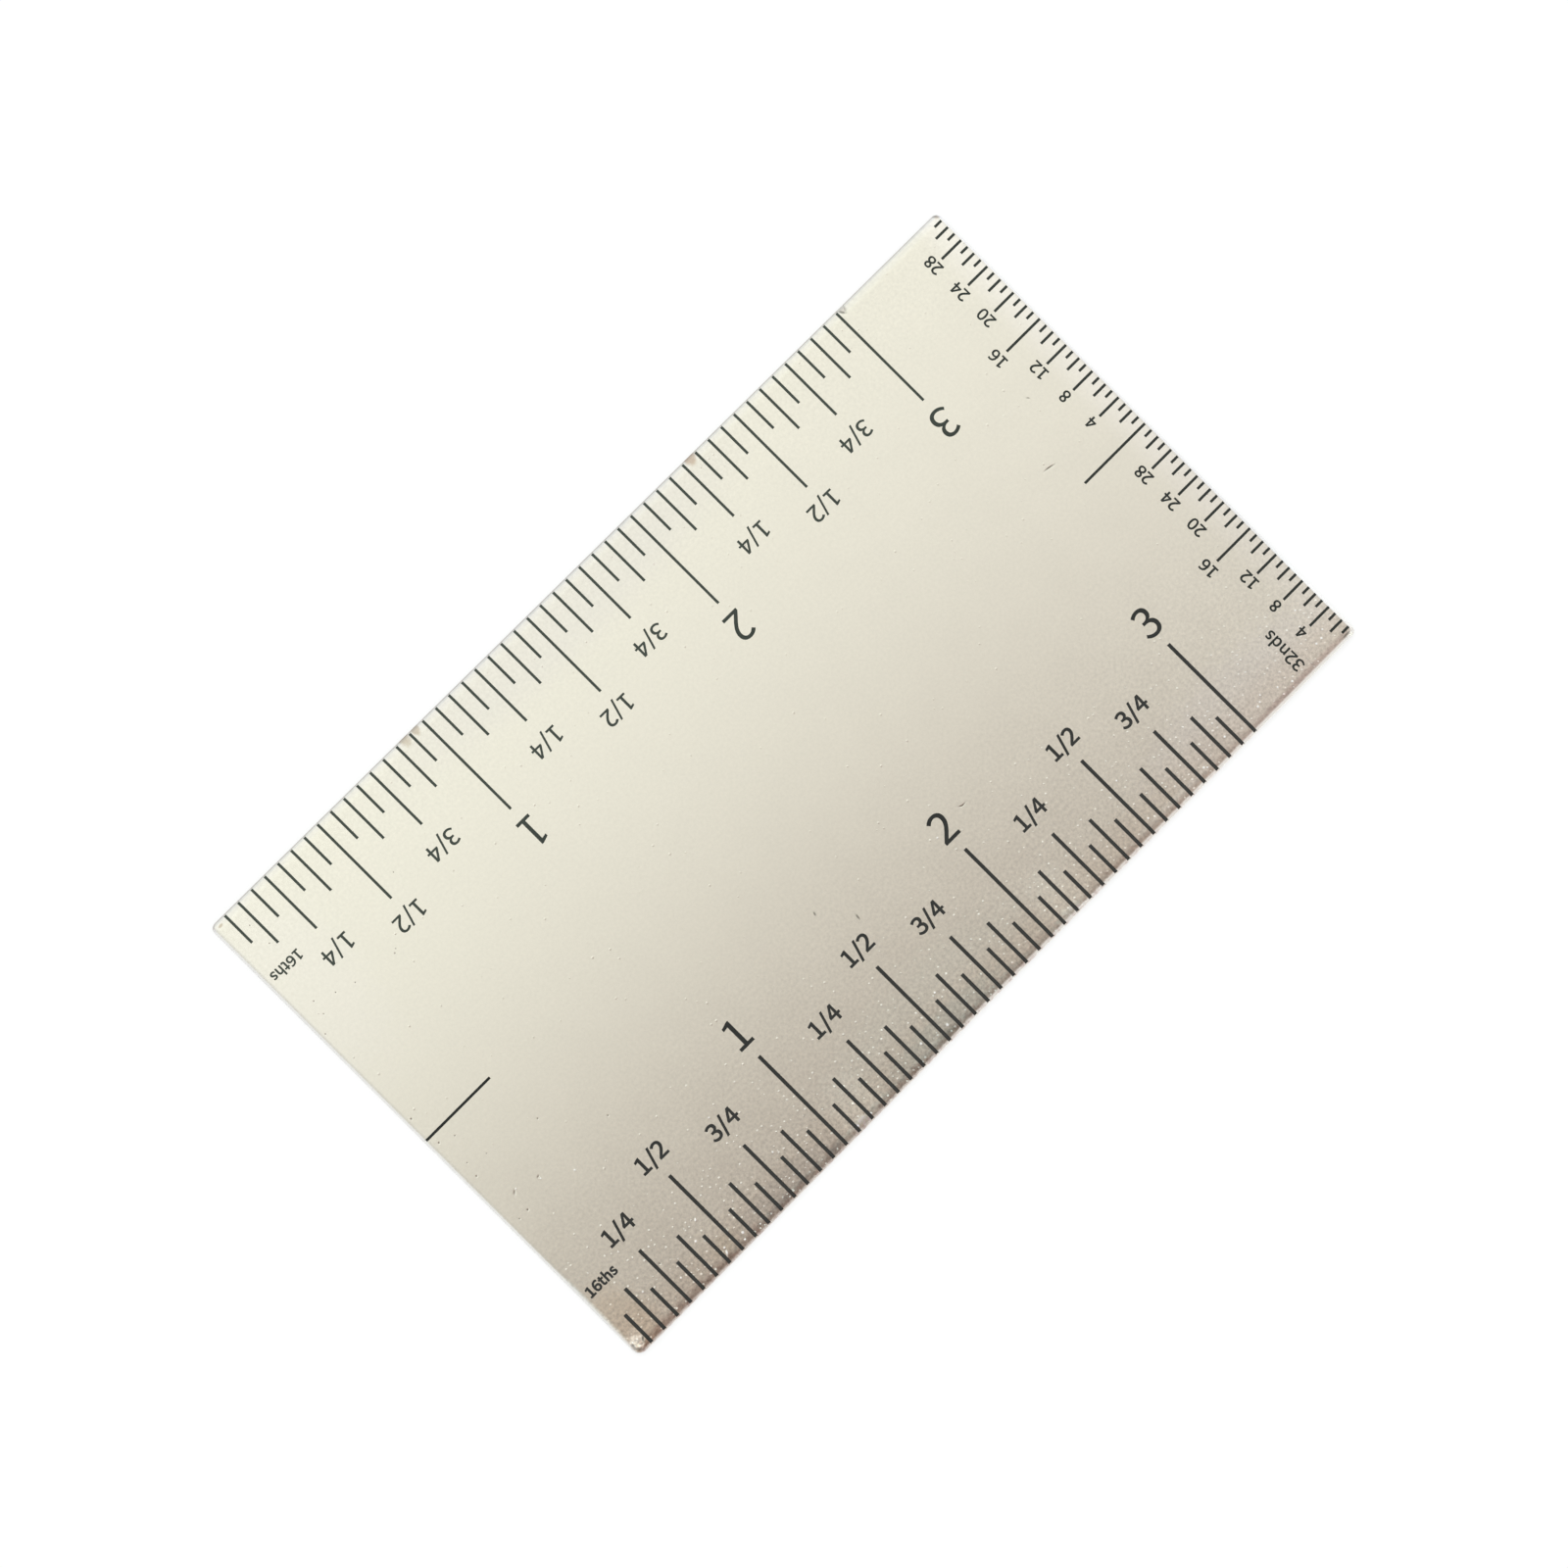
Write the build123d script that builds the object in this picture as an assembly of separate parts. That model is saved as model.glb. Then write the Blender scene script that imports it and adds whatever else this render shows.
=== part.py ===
from build123d import *
import os
from math import sqrt

os.makedirs("parts", exist_ok=True)

# Pocket steel ruler: one blanked plate with its scales sunk in the face, and the
# black fill that lies in the sunk lines.
# The origin is the centre of the underside. +X runs along the plate towards the
# end scale, +Y across it towards the upper long edge, and +Z out of the face.

# Plate
inch = 25.4
plate_length = 3.5 * inch
plate_width = 2.0 * inch
plate_thickness = 0.6
corner_radius = 0.6
back_break = 0.06

# Blanking and deburring leave the face curving down, widely along the two long edges
# and narrowly at the two ends
long_roll_width = 0.9
long_roll_drop = 0.07
end_roll_width = 0.25
end_roll_drop = 0.03

# One corner has been knocked: it is rounder, and pressed down across the corner
knocked_corner_radius = 0.85
knock_length = 1.3
knock_drop = 0.13

# A nick in the upper long edge, whose floor slopes from the face down to the edge
nick_place = 76.82
nick_width = 0.85
nick_length = 0.6
nick_drop = 0.25

# Sunk lines, and how far the top of their fill lies below the face
line_depth = 0.08
fill_recess = 0.02
lower_line_width = 0.34
upper_line_width = 0.25
end_line_width = 0.24
centre_mark_width = 0.24

# Both long edges count sixteenths of an inch from the plain end
long_divisions = 16
long_inch_line = 10.66
long_half_line = 8.93
long_quarter_line = 6.31
long_eighth_line = 4.9
long_sixteenth_line = 3.37

# The long scales stop short of the end scale and its figures
end_zone = 12.0

# The end scale counts thirty-seconds of an inch up from the knocked corner's side
end_divisions = 32
end_line_margin = 0.27
end_inch_line = 7.82
end_half_line = 4.43
end_eighth_line = 2.68
end_sixteenth_line = 1.78
end_finest_line = 1.11

# The plain end has one mark halfway across the plate
centre_mark_length = 7.78

# Reach of a cutting solid beyond the metal
overcut = 1.0

# Directions that lead inward from each side and from the knocked corner, in degrees
from_plain_end = 0
from_knocked_corner = 45
from_lower_edge = 90
from_scale_end = 180
from_upper_edge = 270


def rolled_height(place, height, roll_width, roll_drop):
    """Height of an offset of the face, at a place inward of an edge at local X 0.

    The face falls by the roll's drop in an arc over the roll's width. The offset lies
    that height above it, with a concentric arc, and is level beyond the edge.
    """
    if place >= roll_width:
        return height
    radius = (roll_width**2 + roll_drop**2) / (2 * roll_drop)
    return sqrt((radius + height) ** 2 - (roll_width - max(place, 0)) ** 2) - radius


def rolled_path(start, end, height, roll_width, roll_drop):
    """Line along such an offset of the face, from start to end inward of the edge."""
    flat = Line((max(start, roll_width), height), (end, height))
    if start >= roll_width:
        return flat
    outer_height = rolled_height(start, height, roll_width, roll_drop)
    curve = TangentArc((roll_width, height), (max(start, 0), outer_height), tangent=(-1, 0))
    if start >= 0:
        return curve + flat
    return Line((start, outer_height), (0, outer_height)) + curve + flat


def roll_cutter(roll_width, roll_drop, length):
    """Solid above a face that falls by the roll's drop to an edge at local X 0."""
    inner = roll_width + overcut
    outer = -overcut
    outer_height = rolled_height(outer, 0, roll_width, roll_drop)
    sides = Polyline((outer, outer_height), (outer, overcut), (inner, overcut), (inner, 0))
    section = Plane.XZ * make_face(rolled_path(outer, inner, 0, roll_width, roll_drop) + sides)
    return extrude(section, length / 2, both=True)


def nick_cutter():
    """Wedge that narrows to a point inward of an edge at local X 0 as its floor rises."""
    outer_share = (nick_length + overcut) / nick_length
    outer_drop = nick_drop * outer_share
    outer_half_width = nick_width / 2 * outer_share
    slope = Polyline(
        (nick_length, 0), (-overcut, -outer_drop), (-overcut, overcut), (nick_length, overcut), close=True
    )
    wedge = extrude(Plane.XZ * make_face(slope), outer_half_width, both=True)
    plan = Polyline(
        (nick_length, 0), (-overcut, outer_half_width), (-overcut, -outer_half_width), close=True
    )
    return wedge & extrude(make_face(plan), outer_drop + overcut, both=True)


def line_band(start, end, width, lower, upper, roll):
    """Solid between two heights, from start to end inward of an edge at local X 0.

    Its floor and its top both follow the rolled edge, so a line keeps its depth.
    """
    floor = rolled_path(start, end, lower, *roll)
    top = rolled_path(start, end, upper, *roll)
    near_side = Line(
        (start, rolled_height(start, lower, *roll)), (start, rolled_height(start, upper, *roll))
    )
    far_side = Line((end, lower), (end, upper))
    section = Plane.XZ * make_face(floor + near_side + top + far_side)
    return extrude(section, width / 2, both=True)


def line_length(mark, lengths):
    """Length of the line at a mark, given the lengths from the finest up to the inch."""
    halvings = 0
    while halvings < len(lengths) - 1 and mark % 2 ** (halvings + 1) == 0:
        halvings += 1
    return lengths[halvings]


def at_edge(solid, x, y, inward):
    """The solid set at a point of the plate's edge, with its +X turned inward."""
    return Location((x, y, plate_thickness), (0, 0, inward)) * solid


half_length = plate_length / 2
half_width = plate_width / 2

# Blank with round corners, and its sharp back edge taken off
knocked_corner = (-half_length, -half_width)
outline = Rectangle(plate_length, plate_width)
corners = outline.vertices().sort_by_distance(knocked_corner)
outline = fillet(corners[1:], corner_radius)
sharp_corner = outline.vertices().sort_by_distance(knocked_corner)[0]
outline = fillet(sharp_corner, knocked_corner_radius)
plate = extrude(outline, plate_thickness)
plate = chamfer(plate.faces().sort_by(Axis.Z)[0].edges(), back_break)

# Rolled edges, the knock across one corner and the nick
long_roll = (long_roll_width, long_roll_drop)
end_roll = (end_roll_width, end_roll_drop)
long_cutter = roll_cutter(*long_roll, plate_length + 2 * overcut)
end_cutter = roll_cutter(*end_roll, plate_width + 2 * overcut)
knock_cutter = roll_cutter(knock_length, knock_drop, 2 * (knock_length + overcut))
plate -= [
    at_edge(long_cutter, 0, -half_width, from_lower_edge),
    at_edge(long_cutter, 0, half_width, from_upper_edge),
    at_edge(end_cutter, -half_length, 0, from_plain_end),
    at_edge(end_cutter, half_length, 0, from_scale_end),
    at_edge(knock_cutter, -half_length, -half_width, from_knocked_corner),
    at_edge(nick_cutter(), nick_place - half_length, half_width, from_upper_edge),
]

# Lines of all the scales, each as its place, length, width, margin and rolled edge.
# A line with a margin starts that far in, and one without runs out through the edge.
lines = []

# Long-edge scales
long_lengths = [
    long_sixteenth_line,
    long_eighth_line,
    long_quarter_line,
    long_half_line,
    long_inch_line,
]
long_pitch = inch / long_divisions
for mark in range(1, int((plate_length - end_zone) / long_pitch) + 1):
    x = mark * long_pitch - half_length
    length = line_length(mark, long_lengths)
    lines.append((x, -half_width, from_lower_edge, length, lower_line_width, 0, long_roll))
    lines.append((x, half_width, from_upper_edge, length, upper_line_width, 0, long_roll))

# End scale, whose quarters are as short as its eighths
end_lengths = [
    end_finest_line,
    end_sixteenth_line,
    end_eighth_line,
    end_eighth_line,
    end_half_line,
    end_inch_line,
]
end_pitch = inch / end_divisions
for mark in range(1, int((plate_width - corner_radius) / end_pitch) + 1):
    y = mark * end_pitch - half_width
    length = line_length(mark, end_lengths)
    lines.append((half_length, y, from_scale_end, length, end_line_width, end_line_margin, end_roll))

# Centre mark
lines.append((-half_length, 0, from_plain_end, centre_mark_length, centre_mark_width, 0, end_roll))

# The lines are sunk into the plate, and the fill lies in them
sunk_lines = []
fills = []
for x, y, inward, length, width, margin, roll in lines:
    start = margin if margin > 0 else -overcut
    sunk = line_band(start, length, width, -line_depth, overcut, roll)
    fill = line_band(margin, length, width, -line_depth, -fill_recess, roll)
    sunk_lines.append(at_edge(sunk, x, y, inward))
    fills.append(at_edge(fill, x, y, inward))
plate -= sunk_lines
plate.label = "ruler_plate"
export_step(plate, "parts/ruler_plate.step")

line_fill = Compound(children=fills)
line_fill.label = "line_fill"
export_step(line_fill, "parts/line_fill.step")
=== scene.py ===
import logging
import math
import random
from collections.abc import Iterable, Sequence
from dataclasses import dataclass, field
from enum import Enum

import bmesh
import bpy
from mathutils import Matrix, Vector
from mathutils.geometry import delaunay_2d_cdt


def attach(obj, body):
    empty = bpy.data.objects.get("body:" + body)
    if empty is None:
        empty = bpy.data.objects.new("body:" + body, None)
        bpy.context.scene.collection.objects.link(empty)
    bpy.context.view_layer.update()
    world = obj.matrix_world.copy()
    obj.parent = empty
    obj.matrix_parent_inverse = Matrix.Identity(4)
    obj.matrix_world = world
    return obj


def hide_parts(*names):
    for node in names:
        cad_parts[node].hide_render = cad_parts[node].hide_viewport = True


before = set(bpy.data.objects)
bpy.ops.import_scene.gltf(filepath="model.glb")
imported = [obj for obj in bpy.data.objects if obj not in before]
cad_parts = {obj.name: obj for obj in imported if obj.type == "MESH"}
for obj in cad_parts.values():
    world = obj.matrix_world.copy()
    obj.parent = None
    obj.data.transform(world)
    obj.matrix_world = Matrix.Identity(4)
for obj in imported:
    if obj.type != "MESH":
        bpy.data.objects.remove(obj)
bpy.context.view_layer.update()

logging.basicConfig(level=logging.INFO, format="%(message)s")
LOG = logging.getLogger("pocket_ruler")

MM = 0.001
INCH = 25.4
SHARP_ANGLE = math.radians(30)

Point = tuple[float, float]
Span = tuple[float, float]
Colour = tuple[float, float, float]
WHITE: Colour = (1.0, 1.0, 1.0)


def around(ring: Sequence) -> list[tuple]:
    """Each item of a closed ring, paired with the one that follows it."""
    return list(zip(ring, [*ring[1:], ring[0]]))


def linked(name: str, data: bpy.types.ID) -> bpy.types.Object:
    """Put a new object with this data in the scene.

    Args:
        name: Its name.
        data: Its mesh, lamp or camera.

    Returns:
        The object.
    """
    made = bpy.data.objects.new(name, data)
    bpy.context.scene.collection.objects.link(made)
    return made


# Sizes of the ruler, in mm. The origin is the centre of the underside, +X points to
# the end scale, +Y to the upper long edge and +Z out of the face.


@dataclass(frozen=True)
class RolledEdge:
    """How the face curves down to an edge: an arc that falls by drop over width."""

    width: float
    drop: float

    def fall(self, reach: float) -> float:
        """Depth below the flat face at a distance in from the edge.

        Args:
            reach: Distance inward of the edge, in mm.

        Returns:
            The fall in mm, which is 0 from the roll's width inward.
        """
        run = self.width - max(reach, 0.0)
        if run <= 0:
            return 0.0
        radius = (self.width**2 + self.drop**2) / (2 * self.drop)
        return radius - math.sqrt(radius**2 - run**2)


class Edge(Enum):
    """An edge of the plate, as its outward direction in the plan."""

    LOWER = (0, -1)
    UPPER = (0, 1)
    PLAIN_END = (-1, 0)
    SCALE_END = (1, 0)

    @property
    def is_long(self) -> bool:
        """Whether it is one of the two long edges."""
        return self.value[0] == 0

    @property
    def inward(self) -> Vector:
        """Unit vector from the edge into the plate."""
        return Vector((-self.value[0], -self.value[1], 0))

    @property
    def along(self) -> Vector:
        """Unit vector in which marks are counted, +X or +Y."""
        return Vector((abs(self.value[1]), abs(self.value[0]), 0))


@dataclass(frozen=True)
class PlateSizes:
    """Sizes of the steel plate, in mm."""

    length: float = 3.5 * INCH
    width: float = 2.0 * INCH
    thickness: float = 0.6
    corner_radius: float = 0.6
    back_round: float = 0.06
    long_roll: RolledEdge = RolledEdge(0.9, 0.07)
    end_roll: RolledEdge = RolledEdge(0.25, 0.03)
    knocked_radius: float = 0.85
    knock: RolledEdge = RolledEdge(1.3, 0.13)
    rim: RolledEdge = RolledEdge(0.14, 0.14)
    nick_place: float = 76.82
    nick_width: float = 0.85
    nick_length: float = 0.6
    nick_drop: float = 0.25

    def edge_point(self, edge: Edge, place: float) -> Point:
        """Point on an edge, at a distance from the plain end or from the lower edge.

        Args:
            edge: The edge.
            place: Distance along it, in mm.

        Returns:
            The plan point.
        """
        half_length, half_width = self.length / 2, self.width / 2
        if edge.is_long:
            return place - half_length, edge.value[1] * half_width
        return edge.value[0] * half_length, place - half_width

    def face_height(self, x: float, y: float) -> float:
        """Height of the worn face over the underside.

        Args:
            x: Plan place along the plate.
            y: Plan place across it.

        Returns:
            The height in mm, with the rolled edges and the knocked corner.
        """
        from_end = self.length / 2 - abs(x)
        from_side = self.width / 2 - abs(y)
        from_corner = (x + self.length / 2 + y + self.width / 2) / math.sqrt(2)
        rolls = math.hypot(self.long_roll.fall(from_side), self.end_roll.fall(from_end))
        worn = math.hypot(rolls, self.knock.fall(from_corner))
        return self.thickness - worn - self.rim.fall(self.from_outline(x, y))

    def corner(self, x: float, y: float) -> tuple[float, Point]:
        """Find the round corner nearest a place.

        Args:
            x: Plan place along the plate.
            y: Plan place across it.

        Returns:
            The corner's radius, and the plan point that it turns about.
        """
        radius = self.knocked_radius if x < 0 and y < 0 else self.corner_radius
        centre_x = math.copysign(self.length / 2 - radius, x)
        return radius, (centre_x, math.copysign(self.width / 2 - radius, y))

    def from_outline(self, x: float, y: float) -> float:
        """Distance of a place in from the outline, which is round at the corners.

        Args:
            x: Plan place along the plate.
            y: Plan place across it.

        Returns:
            The distance in mm.
        """
        radius, centre = self.corner(x, y)
        past_x, past_y = abs(x) - abs(centre[0]), abs(y) - abs(centre[1])
        if past_x > 0 and past_y > 0:
            return radius - math.hypot(past_x, past_y)
        return radius - max(past_x, past_y)


@dataclass(frozen=True)
class LineSizes:
    """Section of the sunk lines and figures, in mm."""

    depth: float = 0.08
    fill_recess: float = 0.02


@dataclass(frozen=True)
class Scale:
    """One row of lines along an edge, with its sizes in mm.

    The lengths run from the finest line up, and each holds for every second mark of
    the one before it.
    """

    name: str
    edge: Edge
    count: int
    pitch: float
    line_width: float
    margin: float
    lengths: tuple[float, ...]

    @property
    def roll(self) -> RolledEdge:
        """The rolled edge that the lines cross."""
        sizes = PlateSizes()
        return sizes.long_roll if self.edge.is_long else sizes.end_roll

    @property
    def runs_out(self) -> bool:
        """Whether the lines run out through the edge, past their fill."""
        return self.margin <= PlateSizes().rim.width


LONG_LENGTHS = (3.37, 4.9, 6.31, 8.93, 10.66)
END_LENGTHS = (1.11, 1.78, 2.68, 2.68, 4.43, 7.82)
RIM = PlateSizes().rim.width
SCALES = (
    Scale("lower_sixteenths", Edge.LOWER, 48, INCH / 16, 0.34, RIM, LONG_LENGTHS),
    Scale("upper_sixteenths", Edge.UPPER, 48, INCH / 16, 0.25, RIM, LONG_LENGTHS),
    Scale("end_thirty_seconds", Edge.SCALE_END, 63, INCH / 32, 0.24, 0.27, END_LENGTHS),
    Scale("centre_mark", Edge.PLAIN_END, 1, INCH, 0.24, RIM, (7.78,)),
)


# Figures. Each glyph is drawn as its outside contour followed by its counters.

FIGURE_UNITS = 650


@dataclass(frozen=True)
class Glyph:
    """A letter or figure: how far it moves the pen, and its outline's path.

    Both are in units of which FIGURE_UNITS make a figure's height.
    """

    advance: int
    path: str


ARCH = (
    "M 80 0 L 162 0 L 162 330 C 190 375 235 415 285 415 C 345 415 376 375 376 295 "
    "L 376 0 L 458 0 L 458 305 C 458 425 402 488 303 488 "
)
GLYPHS = {
    "0": Glyph(520, "M 262 -10 C 110 -10 36 105 36 323 C 36 545 118 661 266 661 "
               "C 418 661 486 545 486 328 C 486 108 410 -10 262 -10 "
               "M 264 60 C 366 60 400 160 400 322 C 400 490 364 590 264 590 "
               "C 160 590 122 488 122 328 C 122 160 160 60 264 60"),
    "1": Glyph(520, "M 66 0 L 449 0 L 449 69 L 313 69 L 313 656 L 268 656 L 98 604 "
               "L 98 546 L 221 566 L 221 69 L 66 69"),
    "2": Glyph(520, "M 46 0 L 473 0 L 473 70 L 168 70 L 300 198 C 395 298 448 375 448 482 "
               "C 448 590 375 664 242 664 C 160 664 90 634 38 582 L 98 524 "
               "C 138 560 185 590 236 590 C 312 590 354 545 354 474 "
               "C 354 392 312 330 222 238 L 46 62"),
    "3": Glyph(520, "M 34 84 C 90 28 165 -12 262 -12 C 398 -12 480 60 480 178 "
               "C 480 268 432 330 352 350 C 415 372 455 424 455 494 "
               "C 455 600 380 664 258 664 C 190 664 125 644 66 604 L 106 536 "
               "C 150 570 200 592 250 592 C 318 592 360 550 360 486 "
               "C 360 415 305 372 222 372 L 172 372 L 172 308 L 228 308 "
               "C 325 308 386 256 386 178 C 386 108 335 60 258 60 C 185 60 125 90 72 138"),
    "4": Glyph(520, "M 323 0 L 407 0 L 407 190 L 505 190 L 505 256 L 407 256 L 407 650 "
               "L 306 650 L 38 250 L 38 190 L 323 190 M 323 256 L 323 540 L 134 256"),
    "6": Glyph(520, "M 436 640 C 406 652 366 661 322 661 C 140 661 42 520 42 300 "
               "C 42 100 110 -10 262 -10 C 396 -10 484 80 484 206 "
               "C 484 326 412 398 296 398 C 232 398 172 374 130 336 "
               "C 140 492 202 592 324 592 C 368 592 406 582 436 568 "
               "M 266 58 C 180 58 130 130 130 262 C 168 304 222 332 280 332 "
               "C 356 332 398 282 398 202 C 398 120 348 58 266 58"),
    "8": Glyph(520, "M 258 -10 C 124 -10 44 58 44 162 C 44 246 92 304 176 342 "
               "C 104 380 66 432 66 504 C 66 598 140 661 262 661 "
               "C 384 661 452 602 452 512 C 452 444 412 388 340 350 "
               "C 428 308 476 248 476 170 C 476 58 398 -10 258 -10 "
               "M 258 56 C 346 56 392 102 392 166 C 392 226 348 268 252 310 "
               "C 168 270 128 224 128 164 C 128 98 174 56 258 56 "
               "M 262 384 C 336 420 370 458 370 508 C 370 562 330 596 260 596 "
               "C 190 596 148 560 148 504 C 148 452 184 420 262 384"),
    "/": Glyph(360, "M 27 -130 L 97 -130 L 335 679 L 265 679"),
    "t": Glyph(343, "M 96 412 L 22 412 L 22 478 L 96 478 L 104 600 L 178 600 L 178 478 "
               "L 314 478 L 314 412 L 178 412 L 178 155 C 178 90 200 60 250 60 "
               "C 275 60 298 66 316 74 L 316 8 C 295 -2 262 -9 232 -9 "
               "C 140 -9 96 40 96 148"),
    "h": Glyph(538, ARCH + "C 248 488 202 462 162 415 L 162 712 L 80 712"),
    "n": Glyph(538, ARCH + "C 243 488 195 458 155 408 L 152 478 L 80 478"),
    "d": Glyph(538, "M 458 712 L 376 712 L 376 425 C 345 462 302 488 246 488 "
               "C 118 488 48 385 48 236 C 48 90 108 -10 238 -10 "
               "C 300 -10 350 22 386 70 L 390 0 L 458 0 "
               "M 376 135 C 335 85 300 58 252 58 C 170 58 134 130 134 238 "
               "C 134 345 176 420 258 420 C 305 420 342 392 376 345"),
    "s": Glyph(401, "M 40 36 C 75 8 125 -10 182 -10 C 288 -10 360 44 360 138 "
               "C 360 208 322 248 232 282 C 160 309 134 322 134 358 "
               "C 134 396 164 421 218 421 C 262 421 300 407 326 390 L 326 462 "
               "C 296 478 258 488 216 488 C 116 488 52 436 52 352 "
               "C 52 284 92 246 184 212 C 254 186 278 170 278 130 "
               "C 278 84 240 58 180 58 C 128 58 78 78 40 108"),
}


@dataclass(frozen=True)
class Legend:
    """Figures or a word, set with their feet towards an edge.

    Attributes:
        text: What it reads.
        edge: The edge that the baseline runs along.
        place: Where its middle is along that edge, in mm.
        baseline: Distance of the baseline in from the edge, in mm.
        height: Height of its figures, in mm.
        stretch: Width as a share of the drawn width.
        weight: How far its strokes are thickened to each side, in mm.
    """

    text: str
    edge: Edge
    place: float
    baseline: float
    height: float
    stretch: float = 1.0
    weight: float = 0.0

    FEWEST_STEPS = 3  # Runs in each curve of the smallest figures
    STEPS_PER_MM = 3.2  # Runs in a curve for each mm of height
    CLOSED_WITHIN = 1.0  # Gap in glyph units below which a contour is closed
    SHARPEST_MITRE = 0.4  # Keeps the points of sharp corners short

    def contours(self) -> list[tuple[list[Point], bool]]:
        """The legend's outlines in the plan.

        Returns:
            One pair for each contour: its points, and whether it is a counter.
        """
        drawn: list[tuple[list[Point], bool]] = []
        pen = 0.0
        for letter in self.text:
            glyph = GLYPHS[letter]
            for number, contour in enumerate(self._read(glyph.path)):
                drawn.append(([(x + pen, y) for x, y in contour], number > 0))
            pen += glyph.advance
        reach = [x for contour, _ in drawn for x, _ in contour]
        middle = (min(reach) + max(reach)) / 2
        return [
            (self._thickened([self._placed(x - middle, y) for x, y in contour], counter), counter)
            for contour, counter in drawn
        ]

    def _read(self, path: str) -> list[list[Point]]:
        """Follow a glyph's path, and draw its curves as short runs.

        Args:
            path: The path, as M, L and C with their points.

        Returns:
            The points of each contour, in glyph units.
        """
        steps = max(self.FEWEST_STEPS, round(self.STEPS_PER_MM * self.height))
        contours: list[list[Point]] = []
        words = iter(path.split())
        for word in words:
            count = {"M": 1, "L": 1, "C": 3}[word]
            ends = [(float(next(words)), float(next(words))) for _ in range(count)]
            if word == "M":
                contours.append([])
            if word == "C":
                curve = [Vector(p) for p in (contours[-1][-1], *ends)]
                for step in range(1, steps + 1):
                    contours[-1].append(tuple(cubic(curve, step / steps)))
            else:
                contours[-1].append(ends[0])
        for contour in contours:
            if (Vector(contour[0]) - Vector(contour[-1])).length < self.CLOSED_WITHIN:
                contour.pop()
        return contours

    def _placed(self, across: float, up: float) -> Point:
        """Move a point from glyph units to the plan.

        Args:
            across: Its place to the right of the legend's middle.
            up: Its height over the baseline.

        Returns:
            The plan point in mm.
        """
        scale = self.height / FIGURE_UNITS
        start = Vector((*PlateSizes().edge_point(self.edge, self.place), 0))
        upward = self.edge.inward
        rightward = Vector((upward.y, -upward.x, 0))
        point = start + rightward * across * scale * self.stretch
        point += upward * (self.baseline + up * scale)
        return point.x, point.y

    def _thickened(self, contour: list[Point], counter: bool) -> list[Point]:
        """Move a contour's points square to the stroke, so that the ink grows by the weight.

        Args:
            contour: The points in mm, in either direction.
            counter: Whether the ink lies outside it.

        Returns:
            The moved points.
        """
        points = [Vector(p) for p in contour]
        area = sum(a.cross(b) for a, b in around(points))
        if (area > 0) is counter:
            points.reverse()
        grown: list[Point] = []
        for before, (point, after) in zip([points[-1], *points], around(points)):
            run, next_run = (point - before).normalized(), (after - point).normalized()
            normals = Vector((run.y + next_run.y, -run.x - next_run.x))
            mitre = normals / max(1 + run.dot(next_run), self.SHARPEST_MITRE)
            grown.append(tuple(point + mitre * self.weight))
        return grown


def cubic(curve: Sequence[Vector], share: float) -> Vector:
    """Point on a cubic Bezier curve.

    Args:
        curve: Its two ends and the two handles between them, in order.
        share: How far along it, from 0 to 1.

    Returns:
        The point.
    """
    rest = 1 - share
    weights = (rest**3, 3 * rest**2 * share, 3 * rest * share**2, share**3)
    return sum((p * w for p, w in zip(curve, weights)), Vector((0, 0)))


@dataclass(frozen=True)
class Lettering:
    """Sizes of the figures along one long edge, in mm.

    Each fraction and inch figure has its stretch, and each group its thickening.
    """

    edge: Edge
    fraction_stretch: tuple[float, float, float]
    fraction_weight: float
    inch_stretch: tuple[float, float, float]
    inch_weight: float
    word_place: float
    word_weight: float

    inch_height: float = 2.68
    inch_baseline: float = 11.92
    inch_shifts: tuple[float, float, float] = (0.0, -0.07, -0.04)
    fraction_height: float = 1.463
    fraction_baselines: tuple[float, float, float] = (8.06, 10.355, 8.06)
    fraction_shifts: tuple[float, float, float] = (0.0, -0.15, -0.15)
    word_baseline: float = 6.3
    word_height: float = 0.892
    word_stretch: float = 1.056

    def legends(self) -> list[Legend]:
        """Set out the figures and the unit mark along the edge.

        Returns:
            Every legend.
        """
        shape = (self.word_height, self.word_stretch, self.word_weight)
        found = [Legend("16ths", self.edge, self.word_place, self.word_baseline, *shape)]
        for inch in range(3):
            for number, text in enumerate(("1/4", "1/2", "3/4")):
                place = (inch + (number + 1) / 4) * INCH + self.fraction_shifts[inch]
                shape = (self.fraction_height, self.fraction_stretch[number], self.fraction_weight)
                baseline = self.fraction_baselines[number]
                found.append(Legend(text, self.edge, place, baseline, *shape))
            place = (inch + 1) * INCH + self.inch_shifts[inch]
            shape = (self.inch_height, self.inch_stretch[inch], self.inch_weight)
            found.append(Legend(str(inch + 1), self.edge, place, self.inch_baseline, *shape))
        return found


LETTERING = (
    Lettering(Edge.LOWER, (1.008, 1.01, 1.028), 0.047, (0.988, 0.971, 0.976), 0.019, 2.205, 0.05),
    Lettering(Edge.UPPER, (0.998, 1.008, 1.024), 0.021, (0.929, 0.942, 0.968), 0.006, 2.276, 0.032),
)


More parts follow.
